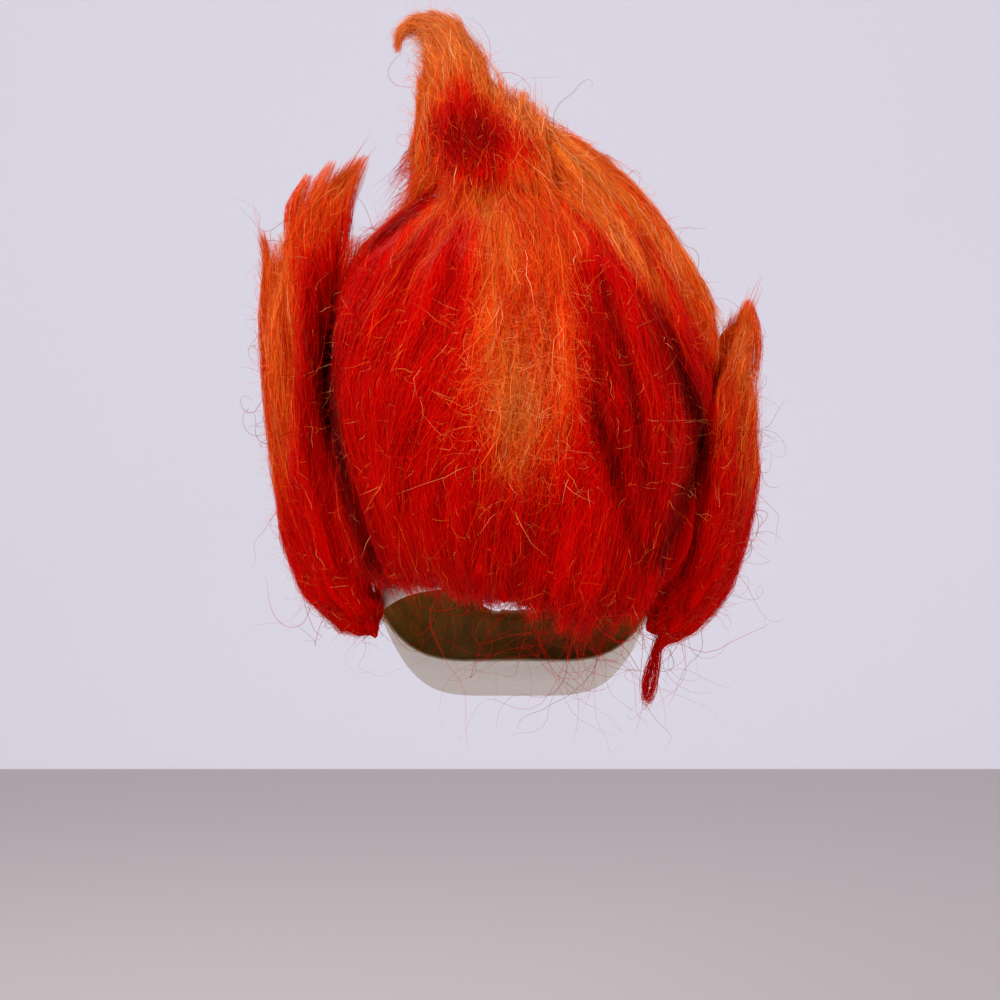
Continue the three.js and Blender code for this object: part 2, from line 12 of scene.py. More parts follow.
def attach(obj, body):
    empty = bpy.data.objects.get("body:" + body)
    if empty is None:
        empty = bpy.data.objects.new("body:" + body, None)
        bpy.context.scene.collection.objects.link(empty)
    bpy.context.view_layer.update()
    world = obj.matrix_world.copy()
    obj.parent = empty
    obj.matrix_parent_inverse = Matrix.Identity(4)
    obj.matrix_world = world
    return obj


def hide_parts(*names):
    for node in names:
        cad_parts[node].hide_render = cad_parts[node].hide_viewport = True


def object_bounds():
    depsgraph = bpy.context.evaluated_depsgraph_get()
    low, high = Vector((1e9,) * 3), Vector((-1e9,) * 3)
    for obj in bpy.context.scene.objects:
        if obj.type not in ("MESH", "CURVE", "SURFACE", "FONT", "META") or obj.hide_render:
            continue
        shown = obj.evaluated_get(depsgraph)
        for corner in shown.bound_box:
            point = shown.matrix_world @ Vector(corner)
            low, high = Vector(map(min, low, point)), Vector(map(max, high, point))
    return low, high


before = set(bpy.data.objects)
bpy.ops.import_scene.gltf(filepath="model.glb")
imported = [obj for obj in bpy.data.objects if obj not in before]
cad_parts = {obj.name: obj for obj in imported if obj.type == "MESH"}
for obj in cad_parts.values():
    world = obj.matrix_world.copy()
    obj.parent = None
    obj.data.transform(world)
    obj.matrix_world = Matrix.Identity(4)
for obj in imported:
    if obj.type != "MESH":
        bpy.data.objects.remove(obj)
cad_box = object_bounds()

# Sizes in metres, as in the part's source
WALL = 0.0025
SHELL_HEIGHT = 0.265
SHELL_HALF_WIDTH = 0.088
FACE_REACH = 0.098
SKULL_REACH = 0.096
RELIEF = 0.008
NOSE_RADIUS = 0.019
NOSE_LEAD = 0.007
EYE_WIDTH = 0.030
EYE_HEIGHT = 0.015
EYE_SPACING = 0.066
EYE_TILT = 0.12
MOUTH_WIDTH = 0.048
MOUTH_GAP = 0.008
NOSTRIL_RADIUS = 0.0022
NOSTRIL_SPACING = 0.015
SIDE_LOFT = 0.066
CREST_RISE = 0.156
CURL_LENGTH = 0.034
CURL_WIDTH = 0.011
CURL_THICKNESS = 0.0044
CURL_SLANT = 0.007

# Heights on the face, as shares of the shell's height below the crown
EYE_LINE = 0.5
NOSE_LINE = 0.635
MOUTH_LINE = 0.79
SMILE = 0.03

# The clown's paint: its colours, where its marks lie, and their half widths and half heights
WHITE_PAINT = (0.80, 0.77, 0.70)
CHEEK_RED = (0.72, 0.16, 0.12)
LID_BLUE = (0.10, 0.26, 0.52)
LINER_BLACK = (0.02, 0.02, 0.025)
BROW_BROWN = (0.03, 0.015, 0.01)
LIP_RED = (0.55, 0.01, 0.008)
NOSE_RED = (0.58, 0.008, 0.006)
# painted shade: the black of the nostrils stands for the dark inside of their holes
NOSTRIL_SHADE = (0.01, 0.0, 0.0)
PAINT_EDGE = 0.002
CHEEK_LINE = 0.66
CHEEK_ASIDE = 0.5
CHEEK_SIZE = (0.024, 0.02)
LID_RISE = 0.008
LID_SIZE = (0.022, 0.019)
LINER_SIZE = (0.0185, 0.0105)
BROW_RISE = 0.047
BROW_ARCH = 14
BROW_SHIFT = 0.002
BROW_SIZE = (0.021, 0.0042)
BROW_LEAST = 0.0005
LIPS_SIZE = (0.043, 0.0125)
LIPS_LEAST = 0.002
LIPS_END = 0.045

# The photograph's frame: its scale, the camera's place, and where the table meets the wall
METRES_PER_PIXEL = 0.0006
IMAGE_PIXELS = 1000
CAMERA_DISTANCE = 1.25
CAMERA_HEIGHT = -0.138
CAMERA_ASIDE = 0.009
WALL_BEHIND = 2.6
TABLE_EDGE_PIXELS = 269  # below the middle of the picture

# Hair strands
COMBED_WIDTH = 0.00027
FRIZZ_WIDTH = 0.0002
WISP_WIDTH = 0.00028
COMBED_STEPS = 6
FRIZZ_STEPS = 4
LOCK_STEPS = 6
WISP_STEPS = 16
LOOSE_SHRINK = 0.7
TIP_SHRINK = 0.35  # how fast the strides of a strand shorten once it leaves its mass
BEYOND_BOX = 0.014  # how far hairs may leave the box of the solids
LOCK_SIZE = 0.013
LOCK_RELIEF = 0.0022
LOOSE_SHARE = 0.06  # of the strands that let go of their mass early
MASS_SHRINK = 0.0024  # room under the strands
TONE_SCATTER = 0.003  # how far a strand's colour may come from beside it
TONE_DRAG = 0.005  # and from before or behind it
WISP_TONE = 0.3
# painted highlights: the pale strands and pale frizz stand for glints of light on single hairs
GLINT_SHARE = 0.02  # of the strands that are much paler than the rest
GLINT_TONE = 0.76  # the least tone of pale frizz
GLINT_RANGE = 0.2
LEAN = 0.07  # how far combed strands lean aside, and how much more the upper ones do
LEAN_MORE = 0.28
BEND = 0.05
BEND_MORE = 0.5
LOCK_STRANDS = 9  # combed strands to a fine lock
LOCK_PULL = 0.25
LIFT = 0.0002  # how far strands lie over the mass, and how much more the upper ones and tips do
LIFT_MORE = 0.0018
TIP_LIFT = 0.0015
WAVE_SIZE = 0.0002
WAVE_MORE = 0.0006
BAND_WAVE = 6  # how many times as wavy the band in the middle of the back is
WAVE_TURNS = 0.9
FRIZZ_RISE = 0.75
FRIZZ_BEND = 0.6
FRIZZ_LIFT = 0.0012
COMBING_REACH = 0.012
# painted shade: the hair is painted darker down in the furrows between the locks
FURROW_SHADE = 0.15  # how much darker the hair is down in a furrow
# painted shade: the masses are darker than the strands, as the hair under them lies in shade
MASS_SHADED_BRIGHT = 0.42
STRAND_BRIGHT = 0.55
STRAY_BRIGHT = 0.25
OPEN_LIFT = 0.004  # open roots have no hair between these two distances over them
OPEN_REACH = 0.03
LOOSE_LOCK_COUNT = 380
LOOSE_LOCK_SEED = 80


def table(names, *rows):
    """The columns of a short table, by name."""
    return dict(zip(names.split(), np.array(rows, float).T))


def tables(names, *groups):
    """Several short tables that have the same columns."""
    return tuple(table(names, *rows) for rows in groups)


# The head's profiles from the crown to the rim, in shares of the shell's sizes
PROFILE = table(
    "front_drop front side_drop side back_drop back",
    (0.0, 0.0, 0.0, 0.0, 0.0, 0.0),
    (0.015, 0.3, 0.015, 0.31, 0.012, 0.3),
    (0.075, 0.62, 0.07, 0.62, 0.06, 0.6),
    (0.17, 0.83, 0.16, 0.83, 0.14, 0.83),
    (0.29, 0.95, 0.27, 0.95, 0.25, 0.96),
    (0.41, 0.98, 0.38, 1.0, 0.36, 1.0),
    (0.51, 0.94, 0.48, 0.99, 0.46, 0.96),
    (0.61, 0.95, 0.56, 0.98, 0.54, 0.89),
    (0.71, 0.97, 0.64, 0.97, 0.61, 0.81),
    (0.81, 0.97, 0.7, 0.96, 0.66, 0.75),
    (0.91, 0.95, 0.75, 0.95, 0.69, 0.72),
    (0.975, 0.89, 0.775, 0.945, 0.705, 0.705),
    (1.0, 0.77, 0.785, 0.94, 0.712, 0.7),
    (0.965, 0.61, 0.788, 0.935, 0.717, 0.695),
    (0.91, 0.48, 0.79, 0.93, 0.72, 0.69),
)

# The mounds and hollows of the face: the brow, the socket, the cheek, the bridge and the chin
FEATURES = table(
    "across drop wide tall rise",
    (0.38, 0.435, 0.24, 0.028, 0.55),
    (0.38, 0.5, 0.2, 0.032, -0.9),
    (0.5, 0.655, 0.24, 0.055, 1.0),
    (0.0, 0.54, 0.11, 0.07, 0.9),
    (0.0, 0.915, 0.26, 0.038, 0.8),
)
LIP_WIDE = 0.4
LIP_TALL = 0.014
LIP_RISE = 0.6

# The spines of the tufts, from root to tip. For the side tufts out is a share of SIDE_LOFT,
# back of SKULL_REACH and up of SHELL_HEIGHT.
LEFT_TUFT = table(
    "out back up",
    (-0.12, 0.42, -0.825),
    (0.06, 0.38, -0.765),
    (0.24, 0.3, -0.65),
    (0.38, 0.24, -0.47),
    (0.46, 0.22, -0.25),
    (0.5, 0.22, -0.04),
    (0.34, 0.22, 0.13),
    (0.08, 0.22, 0.235),
)
LEFT_OUTER_TUFT = table(
    "out back up",
    (0.34, 0.36, -0.67),
    (0.56, 0.32, -0.51),
    (0.66, 0.26, -0.33),
    (0.72, 0.22, -0.16),
    (0.82, 0.2, -0.03),
    (0.9, 0.2, 0.045),
)
RIGHT_TUFT = table(
    "out back up",
    (-0.1, 0.42, -0.84),
    (0.04, 0.38, -0.78),
    (0.24, 0.32, -0.66),
    (0.36, 0.26, -0.49),
    (0.46, 0.24, -0.33),
    (0.6, 0.22, -0.2),
    (0.76, 0.22, -0.085),
)
# For the hair of the crown out is a share of SHELL_HALF_WIDTH and up of CREST_RISE.
CREST = table(
    "out back up",
    (0.12, 0.26, 0.08),
    (0.26, 0.19, 0.34),
    (0.36, 0.12, 0.56),
    (0.4, 0.08, 0.74),
    (0.46, 0.05, 0.87),
    (0.61, 0.03, 0.94),
    (0.76, 0.02, 0.92),
    (0.79, 0.02, 0.84),
)
CREST_SHOULDER = table(
    "out back up",
    (-0.04, 0.34, 0.1),
    (-0.03, 0.26, 0.3),
    (0.02, 0.18, 0.48),
    (-0.01, 0.12, 0.66),
)

# Loose locks that ruffle the tips of the tufts and fill the notches beside them, seen from
# behind. Across and wide, the half width, are shares of SHELL_HALF_WIDTH, up of SHELL_HEIGHT
# and back of SKULL_REACH.
LOOSE_LOCKS = tables(
    "across up back wide",
    # the three tips of the left tuft, its outer lock, and the notch beside the crown
    ((1.19, -0.07, 0.22, 0.06), (1.16, 0.07, 0.22, 0.06), (1.13, 0.15, 0.22, 0.05),
     (1.0, 0.245, 0.22, 0.015)),
    ((1.34, -0.07, 0.22, 0.07), (1.36, 0.07, 0.22, 0.07), (1.34, 0.155, 0.22, 0.06),
     (1.22, 0.235, 0.22, 0.015)),
    ((1.45, -0.07, 0.22, 0.05), (1.48, 0.045, 0.22, 0.06), (1.48, 0.13, 0.22, 0.05),
     (1.38, 0.205, 0.22, 0.015)),
    ((1.56, -0.2, 0.2, 0.06), (1.57, -0.09, 0.2, 0.1), (1.57, -0.01, 0.2, 0.1),
     (1.56, 0.06, 0.2, 0.06)),
    ((1.19, -0.24, 0.3, 0.06), (1.18, -0.12, 0.28, 0.07), (1.13, -0.01, 0.25, 0.08),
     (1.06, 0.07, 0.22, 0.04)),
    ((1.25, -0.36, 0.34, 0.04), (1.26, -0.22, 0.34, 0.06), (1.25, -0.1, 0.32, 0.06),
     (1.2, -0.03, 0.3, 0.04)),
    # the tip of the right tuft, and the notch beside it
    ((-1.58, -0.29, 0.22, 0.05), (-1.6, -0.18, 0.22, 0.05), (-1.58, -0.125, 0.22, 0.04),
     (-1.555, -0.075, 0.22, 0.015)),
    ((-1.46, -0.36, 0.26, 0.05), (-1.45, -0.25, 0.24, 0.06), (-1.44, -0.17, 0.22, 0.04)),
    # the end of the hook
    ((0.5, 0.53, 0.02, 0.045), (0.62, 0.56, 0.02, 0.045), (0.77, 0.54, 0.02, 0.025),
     (0.8, 0.49, 0.02, 0.006)),
)

# The hem at the nape, seen from behind, in the same shares
HEM = table(
    "across up",
    (-1.0, -0.73),
    (-0.72, -0.75),
    (-0.51, -0.775),
    (-0.2, -0.758),
    (0.31, -0.722),
    (0.58, -0.708),
    (0.85, -0.712),
    (1.1, -0.72),
)
HEM_LEVEL = -0.738  # where the solid has its hem
HEM_START = -0.6

# How the back hair is combed, as strokes seen from behind. Across is a share of
# SHELL_HALF_WIDTH to the wearer's left, and up a share of SHELL_HEIGHT above the crown.
BACK_STROKES = tables(
    "across up",
    ((0.38, 0.36), (0.5, 0.19), (0.89, 0.08), (1.13, -0.07), (1.16, -0.39), (0.85, -0.68)),
    ((0.3, 0.38), (0.4, 0.17), (0.61, 0.0), (0.89, -0.18), (0.99, -0.34), (0.65, -0.68)),
    ((0.24, 0.26), (0.24, 0.05), (0.34, -0.16), (0.65, -0.34), (0.78, -0.52), (0.58, -0.7)),
    ((0.22, 0.42), (0.14, 0.2), (-0.07, -0.05), (-0.1, -0.29), (0.03, -0.48), (0.1, -0.75)),
    ((0.12, 0.44), (-0.08, 0.28), (-0.38, 0.05), (-0.51, -0.18), (-0.65, -0.41), (-0.41, -0.75)),
    ((0.14, 0.5), (-0.14, 0.36), (-0.72, 0.16), (-0.99, -0.11), (-1.19, -0.36), (-0.85, -0.75)),
    ((0.02, 0.42), (-0.3, 0.37), (-0.99, 0.15), (-1.43, -0.11), (-1.43, -0.36), (-1.06, -0.75)),
)

# The furrows between the locks of the back, in the same shares
FURROWS = tables(
    "across up",
    ((0.48, 0.15), (0.78, 0.08), (0.98, 0.02)),
    ((0.36, 0.12), (0.6, 0.02), (0.76, -0.08)),
    ((1.23, -0.14), (1.13, -0.41), (0.89, -0.66)),
    ((-0.53, -0.07), (-0.7, -0.29), (-0.85, -0.57)),
    ((-0.85, -0.11), (-1.07, -0.29), (-1.19, -0.41), (-0.92, -0.66)),
    ((-0.41, -0.29), (-0.58, -0.45), (-0.78, -0.66)),
)
HAIRLINE_REACH = 0.005  # how far before the masses the hairline has its roots
BAND_LOW = -0.56
BAND_HIGH = 0.04
BAND_MIDDLE = (-0.02, -0.26)  # of the pale band down the back, across and up
BAND_SIZE = (0.34, 0.22)
FURROW_WIDTH = 0.0045
FURROW_DEPTH = 0.003

# Where the hair isn't plain red, as strokes of colour seen from behind, the later ones over the
# earlier. Some strokes are painted shade and painted highlights, as their headings say. Across
# and wide, the half width, are shares of SHELL_HALF_WIDTH, and up of SHELL_HEIGHT. Tone runs
# from 0, nearly black, over 0.4, red, to 0.7, orange, and 1, the palest.
COLOUR_STROKES = tables(
    "across up wide tone",
    # the slope to the wearer's right and its streaks
    ((0.08, 0.4, 0.16, 0.76), (-0.45, 0.24, 0.26, 0.8), (-1.0, 0.0, 0.26, 0.72),
     (-1.3, -0.16, 0.16, 0.6)),
    ((-0.3, 0.35, 0.12, 0.72), (-0.9, 0.14, 0.12, 0.7), (-1.3, -0.02, 0.12, 0.74),
     (-1.46, -0.2, 0.12, 0.68)),
    ((-0.2, 0.2, 0.09, 0.74), (-0.6, 0.06, 0.1, 0.74), (-0.88, -0.08, 0.08, 0.66),
     (-1.02, -0.18, 0.06, 0.5)),
    ((-0.68, 0.1, 0.04, 0.5), (-0.98, -0.06, 0.05, 0.44), (-1.18, -0.22, 0.06, 0.36)),
    # the crown above the middle, the band down the middle, a painted highlight down the band to its
    # pale end, and an orange streak with painted sheen beside it
    ((0.16, 0.16, 0.26, 0.66), (-0.05, 0.08, 0.32, 0.66), (-0.2, 0.0, 0.28, 0.62)),
    ((0.0, 0.04, 0.34, 0.62), (-0.08, -0.12, 0.36, 0.59), (-0.04, -0.3, 0.38, 0.58),
     (-0.06, -0.45, 0.24, 0.48)),
    # painted highlight down the band, to its pale end
    ((0.3, 0.16, 0.08, 0.72), (0.08, 0.02, 0.1, 0.7), (0.14, -0.16, 0.1, 0.66),
     (0.0, -0.34, 0.14, 0.74), (0.04, -0.46, 0.1, 0.62)),
    # an orange streak, partly painted sheen, to the wearer's left of the band
    ((0.36, 0.15, 0.12, 0.68), (0.52, 0.07, 0.15, 0.62), (0.7, -0.04, 0.14, 0.5),
     (0.8, -0.12, 0.1, 0.42)),
    # the crest, and painted shade in its dark core
    ((0.74, 0.53, 0.2, 0.8), (0.46, 0.54, 0.34, 0.8), (0.38, 0.42, 0.32, 0.72)),
    ((0.65, 0.42, 0.1, 0.72), (0.68, 0.3, 0.12, 0.7), (0.6, 0.2, 0.14, 0.66)),
    # painted shade: the dark core of the crest
    ((0.37, 0.385, 0.1, 0.5), (0.34, 0.32, 0.18, 0.36), (0.31, 0.27, 0.22, 0.24),
     (0.26, 0.225, 0.2, 0.28), (0.16, 0.19, 0.12, 0.42)),
    # the rim of the crown to the wearer's left
    ((0.56, 0.18, 0.07, 0.66), (0.86, 0.12, 0.07, 0.62), (1.08, 0.03, 0.06, 0.58)),
    # the tufts: their orange tips and outer edges
    ((1.36, 0.0, 0.2, 0.36), (1.34, -0.2, 0.18, 0.33), (1.26, -0.44, 0.14, 0.34)),
    ((1.08, 0.24, 0.2, 0.68), (1.3, 0.17, 0.24, 0.66), (1.36, 0.08, 0.2, 0.58)),
    ((1.64, 0.08, 0.14, 0.7), (1.6, -0.1, 0.17, 0.67), (1.58, -0.34, 0.14, 0.64),
     (1.62, -0.54, 0.09, 0.58)),
    ((-1.56, -0.08, 0.1, 0.68), (-1.54, -0.24, 0.12, 0.68), (-1.54, -0.42, 0.1, 0.62),
     (-1.5, -0.54, 0.07, 0.5)),
    ((-1.4, -0.16, 0.06, 0.66), (-1.36, -0.3, 0.07, 0.6), (-1.32, -0.44, 0.06, 0.48)),
    # painted shade between the locks
    ((1.2, -0.04, 0.07, 0.3), (1.22, -0.2, 0.09, 0.24), (1.14, -0.42, 0.07, 0.24),
     (0.9, -0.66, 0.08, 0.25)),
    ((-0.86, -0.12, 0.06, 0.3), (-1.06, -0.28, 0.08, 0.24), (-1.18, -0.42, 0.07, 0.2),
     (-0.86, -0.64, 0.08, 0.24)),
    ((-0.42, -0.04, 0.07, 0.38), (-0.5, -0.24, 0.09, 0.3), (-0.66, -0.46, 0.08, 0.28)),
)
PLAIN_TONE = 0.38
SPINE_SHARES = np.linspace(0, 1, 24)  # where a spine or a stroke of colour is read


def along(rows, column, share):
    """Smooth values between the rows of a table, at shares of the way through it."""
    values = rows[column]
    place = np.clip(share, 0, 1) * (len(values) - 1)
    start = np.minimum(np.floor(place).astype(int), len(values) - 2)

    def read(index):
        return values[np.clip(index, 0, len(values) - 1)]

    before, first, second, after = (read(start + step) for step in (-1, 0, 1, 2))
    part = place - start
    leave, arrive = (second - before) / 2, (after - first) / 2
    rise = second - first
    curve = (3 * rise - 2 * leave - arrive) * part**2 + (leave + arrive - 2 * rise) * part**3
    return first + part * leave + curve


def smooth_step(low, high, value):
    share = np.clip((value - low) / (high - low), 0, 1)
    return share * share * (3 - 2 * share)


def unit(vectors):
    length = np.linalg.norm(vectors, axis=-1, keepdims=True)
    return vectors / np.maximum(length, 1e-9)


def head_curve(angle, level):
    """The plain curve of the head, at angles from the face and levels from crown to rim."""
    sine, cosine = np.sin(angle), np.cos(angle)
    side_weight = np.abs(sine) ** 4
    facing = cosine > 0
    end_drop = np.where(
        facing, along(PROFILE, "front_drop", level), along(PROFILE, "back_drop", level)
    )
    drop = end_drop * (1 - side_weight) + along(PROFILE, "side_drop", level) * side_weight
    width = along(PROFILE, "side", level) * SHELL_HALF_WIDTH
    front = along(PROFILE, "front", level) * FACE_REACH
    depth = np.where(facing, front, along(PROFILE, "back", level) * SKULL_REACH)
    squareness = 0.84
    return np.stack(
        [
            np.sign(sine) * np.abs(sine) ** squareness * width,
            -np.sign(cosine) * np.abs(cosine) ** squareness * depth,
            WALL - drop * SHELL_HEIGHT,
        ],
        axis=-1,
    )


def face_relief(points):
    """How far the face stands out from that curve."""
    across = np.abs(points[..., 0]) / SHELL_HALF_WIDTH
    drop = (WALL - points[..., 2]) / SHELL_HEIGHT
    rise = np.zeros_like(across)
    for middle, level, wide, tall, height in zip(*FEATURES.values()):
        aside = (across - middle) / wide
        aloft = (drop - level) / tall
        rise += height * np.exp(-(aside**2) - aloft**2)
    aside = across / LIP_WIDE
    aloft = (drop - MOUTH_LINE + SMILE * aside**2) / LIP_TALL
    rise += LIP_RISE * np.exp(-((np.abs(aloft) - 1) ** 2) - aside**4)
    return rise * RELIEF * smooth_step(0, FACE_REACH / 2, -points[..., 1])


def face_height(share):
    return WALL - share * SHELL_HEIGHT


def mouth_height(across):
    """The height of the middle of the mouth, which curves up to both sides."""
    bend = across / (LIP_WIDE * SHELL_HALF_WIDTH)
    return face_height(MOUTH_LINE) + SMILE * SHELL_HEIGHT * bend**2


def shell_surface(angle, level):
    """The outer surface of the shell, with a disc of the face wrapped onto the nose's ball."""
    plain = head_curve(angle, level)
    flat = plain * np.array([1, 1, 0])
    points = plain + unit(flat) * face_relief(plain)[..., None]
    nose_height = face_height(NOSE_LINE)
    close = math.acos(-NOSE_LEAD / NOSE_RADIUS)
    neck = NOSE_RADIUS * math.sin(close)
    distance = np.hypot(plain[..., 0], plain[..., 2] - nose_height)
    on_nose = (plain[..., 1] < 0) & (distance < neck)
    bend = close * distance / neck
    spread = NOSE_RADIUS * np.sin(bend) / np.maximum(distance, 1e-6)
    lift = NOSE_RADIUS * (np.cos(bend) - math.cos(close))
    ball = np.stack(
        [
            plain[..., 0] * spread,
            points[..., 1] - lift,
            nose_height + (plain[..., 2] - nose_height) * spread,
        ],
        axis=-1,
    )
    return np.where(on_nose[..., None], ball, points)


def mesh_object(name, points, faces, smooth=True):
    """A mesh object from arrays of points and of faces that all have as many corners."""
    mesh = bpy.data.meshes.new(name)
    faces = np.asarray(faces, np.int32)
    corners = faces.shape[1]
    mesh.vertices.add(len(points))
    mesh.vertices.foreach_set("co", np.asarray(points, np.float32).ravel())
    mesh.loops.add(faces.size)
    mesh.loops.foreach_set("vertex_index", faces.ravel())
    mesh.polygons.add(len(faces))
    mesh.polygons.foreach_set("loop_start", np.arange(len(faces), dtype=np.int32) * corners)
    mesh.polygons.foreach_set("use_smooth", np.full(len(faces), smooth))
    mesh.update(calc_edges=True)
    mesh.validate()
    piece = bpy.data.objects.new(name, mesh)
    bpy.context.scene.collection.objects.link(piece)
    return piece


def applied(piece):
    """The same object with its modifiers applied."""
    graph = bpy.context.evaluated_depsgraph_get()
    mesh = bpy.data.meshes.new_from_object(piece.evaluated_get(graph))
    piece.modifiers.clear()
    piece.data = mesh
    return piece


def principled(name, roughness, specular=0.4):
    material = bpy.data.materials.new(name)
    material.use_nodes = True
    nodes = material.node_tree.nodes
    shader = nodes["Principled BSDF"]
    shader.inputs["Roughness"].default_value = roughness
    shader.inputs["Specular IOR Level"].default_value = specular
    return material, nodes, material.node_tree.links, shader


def add_node(nodes, kind, **values):
    """A shader node with some of its inputs set."""
    node = nodes.new(kind)
    for name, value in values.items():
        node.inputs[name].default_value = value
    return node


def add_bump(nodes, links, shader, scale, distance, strength, stretch=(1, 1, 1)):
    """A fine noise bump in object space, stretched along each axis."""
    place = nodes.new("ShaderNodeTexCoord")
    mapping = add_node(nodes, "ShaderNodeMapping", Scale=stretch)
    noise = add_node(nodes, "ShaderNodeTexNoise", Scale=scale, Detail=4)
    bump = add_node(nodes, "ShaderNodeBump", Distance=distance, Strength=strength)
    links.new(place.outputs["Object"], mapping.inputs["Vector"])
    links.new(mapping.outputs["Vector"], noise.inputs["Vector"])
    links.new(noise.outputs["Fac"], bump.inputs["Height"])
    links.new(bump.outputs["Normal"], shader.inputs["Normal"])
    return noise


def painted_latex():
    """The outside of the shell: its paint is a colour attribute, a little worn and mottled."""
    material, nodes, links, shader = principled("painted_latex", roughness=0.42)
    paint = nodes.new("ShaderNodeVertexColor")
    paint.layer_name = "paint"
    noise = add_bump(nodes, links, shader, scale=420, distance=0.0004, strength=0.35)
    wear = add_node(nodes, "ShaderNodeMix", Factor=0.22)
    wear.data_type = "RGBA"
    wear.blend_type = "MULTIPLY"
    links.new(paint.outputs["Color"], wear.inputs["A"])
    links.new(noise.outputs["Color"], wear.inputs["B"])
    links.new(wear.outputs["Result"], shader.inputs["Base Color"])
    return material


def bare_latex(name, dark, light, roughness):
    """Unpainted latex, mottled between two colours."""
    material, nodes, links, shader = principled(name, roughness)
    noise = add_bump(nodes, links, shader, scale=90, distance=0.0008, strength=0.4)
    ramp = nodes.new("ShaderNodeValToRGB")
    for element, position, colour in zip(ramp.color_ramp.elements, (0.35, 0.65), (dark, light)):
        element.position, element.color = position, (*colour, 1)
    links.new(noise.outputs["Fac"], ramp.inputs["Fac"])
    links.new(ramp.outputs["Color"], shader.inputs["Base Color"])
    return material


def hair_ramp(nodes):
    """Hair colours from nearly black, used for painted shade, over red and orange to the palest,
    used for painted glints of light.
    """
    ramp = nodes.new("ShaderNodeValToRGB")
    stops = (
        (0.0, (0.06, 0.0, 0.0)),
        (0.2, (0.22, 0.0005, 0.0)),
        (0.4, (0.76, 0.001, 0.0003)),
        (0.52, (0.86, 0.008, 0.001)),
        (0.64, (0.9, 0.06, 0.004)),
        (0.78, (0.9, 0.17, 0.012)),
        (0.9, (0.94, 0.3, 0.05)),
        (1.0, (1.0, 0.46, 0.24)),
    )
    elements = ramp.color_ramp.elements
    elements[0].position, elements[0].color = stops[0][0], (*stops[0][1], 1)
    elements[1].position, elements[1].color = stops[-1][0], (*stops[-1][1], 1)
    for position, colour in stops[1:-1]:
        elements.new(position).color = (*colour, 1)
    return ramp


def hair_material(name, roughness, specular, bumped):
    """Hair whose colour lies at a place in its map: tone across and brightness up."""
    material, nodes, links, shader = principled(name, roughness, specular)
    shader.inputs["Specular Tint"].default_value = (1.0, 0.6, 0.35, 1)
    place = nodes.new("ShaderNodeUVMap")
    place.uv_map = "OFBake"
    parts = nodes.new("ShaderNodeSeparateXYZ")
    ramp = hair_ramp(nodes)
    bright = nodes.new("ShaderNodeMapRange")
    bright.inputs["To Min"].default_value = 0.5
    bright.inputs["To Max"].default_value = 1.25
    shade = nodes.new("ShaderNodeVectorMath")
    shade.operation = "SCALE"
    links.new(place.outputs["UV"], parts.inputs["Vector"])
    links.new(parts.outputs["X"], ramp.inputs["Fac"])
    links.new(parts.outputs["Y"], bright.inputs["Value"])
    links.new(ramp.outputs["Color"], shade.inputs[0])
    links.new(bright.outputs["Result"], shade.inputs["Scale"])
    links.new(shade.outputs["Vector"], shader.inputs["Base Color"])
    if bumped:
        add_bump(nodes, links, shader, 60, 0.002, 0.8, stretch=(14, 14, 1))
    return material


def paint_colours(points):
    """The clown's paint: a white face, red nose and lips, dark brows and soft cheeks, and black
    nostrils as painted shade.
    """
    aside = np.abs(points[:, 0])
    across, forward, height = points[:, 0], -points[:, 1], points[:, 2]
    colours = np.tile(np.array(WHITE_PAINT), (len(points), 1))
    front = smooth_step(0.1, 0.4, forward / FACE_REACH)
    eye = face_height(EYE_LINE)

    def lay(colour, weight):
        colours[:] = colours + (np.array(colour) - colours) * np.clip(weight, 0, 1)[:, None]

    def oval(middle_aside, middle_height, size):
        return np.hypot((aside - middle_aside) / size[0], (height - middle_height) / size[1])

    def inside(value):
        return front * (1 - smooth_step(-PAINT_EDGE, PAINT_EDGE, value))

    def tapering(distance, size):
        return size[1] * np.sqrt(np.clip(1 - (distance / size[0]) ** 2, 0, 1))

    cheek = oval(CHEEK_ASIDE * SHELL_HALF_WIDTH, face_height(CHEEK_LINE), CHEEK_SIZE)
    lay(CHEEK_RED, 0.75 * front * np.exp(-(cheek**2) * 1.4))
    lid = oval(EYE_SPACING / 2, eye + LID_RISE, LID_SIZE)
    lay(LID_BLUE, 0.85 * front * (1 - smooth_step(0.75, 1.05, lid)))
    liner = oval(EYE_SPACING / 2, eye, LINER_SIZE)
    lay(LINER_BLACK, 0.9 * front * (1 - smooth_step(0.9, 1.1, liner)))
    arch = eye + BROW_RISE - BROW_ARCH * (aside - EYE_SPACING / 2 - BROW_SHIFT) ** 2
    brow_half = tapering(aside - EYE_SPACING / 2, BROW_SIZE)
    lay(BROW_BROWN, inside(np.abs(height - arch) - brow_half) * (brow_half > BROW_LEAST))
    lip_half = tapering(across, LIPS_SIZE) + LIPS_LEAST
    away = np.abs(height - mouth_height(across)) - lip_half
    lay(LIP_RED, inside(np.where(aside < LIPS_END, away, 0.01)))
    nose_middle = np.array([0, points[:, 1].min() + NOSE_RADIUS, face_height(NOSE_LINE)])
    ball = np.linalg.norm(points - nose_middle, axis=1) / NOSE_RADIUS
    lay(NOSE_RED, 1 - smooth_step(1.06, 1.14, ball))
    # painted shade: black dots under the nose for the nostrils
    for side in (-1, 1):
        nostril = np.hypot(across - side * NOSTRIL_SPACING / 2, points[:, 1] - nose_middle[1])
        under = (ball < 1.2) * (height < nose_middle[2])
        lay(NOSTRIL_SHADE, under * (1 - smooth_step(0.8, 1.3, nostril / NOSTRIL_RADIUS)))
    return colours


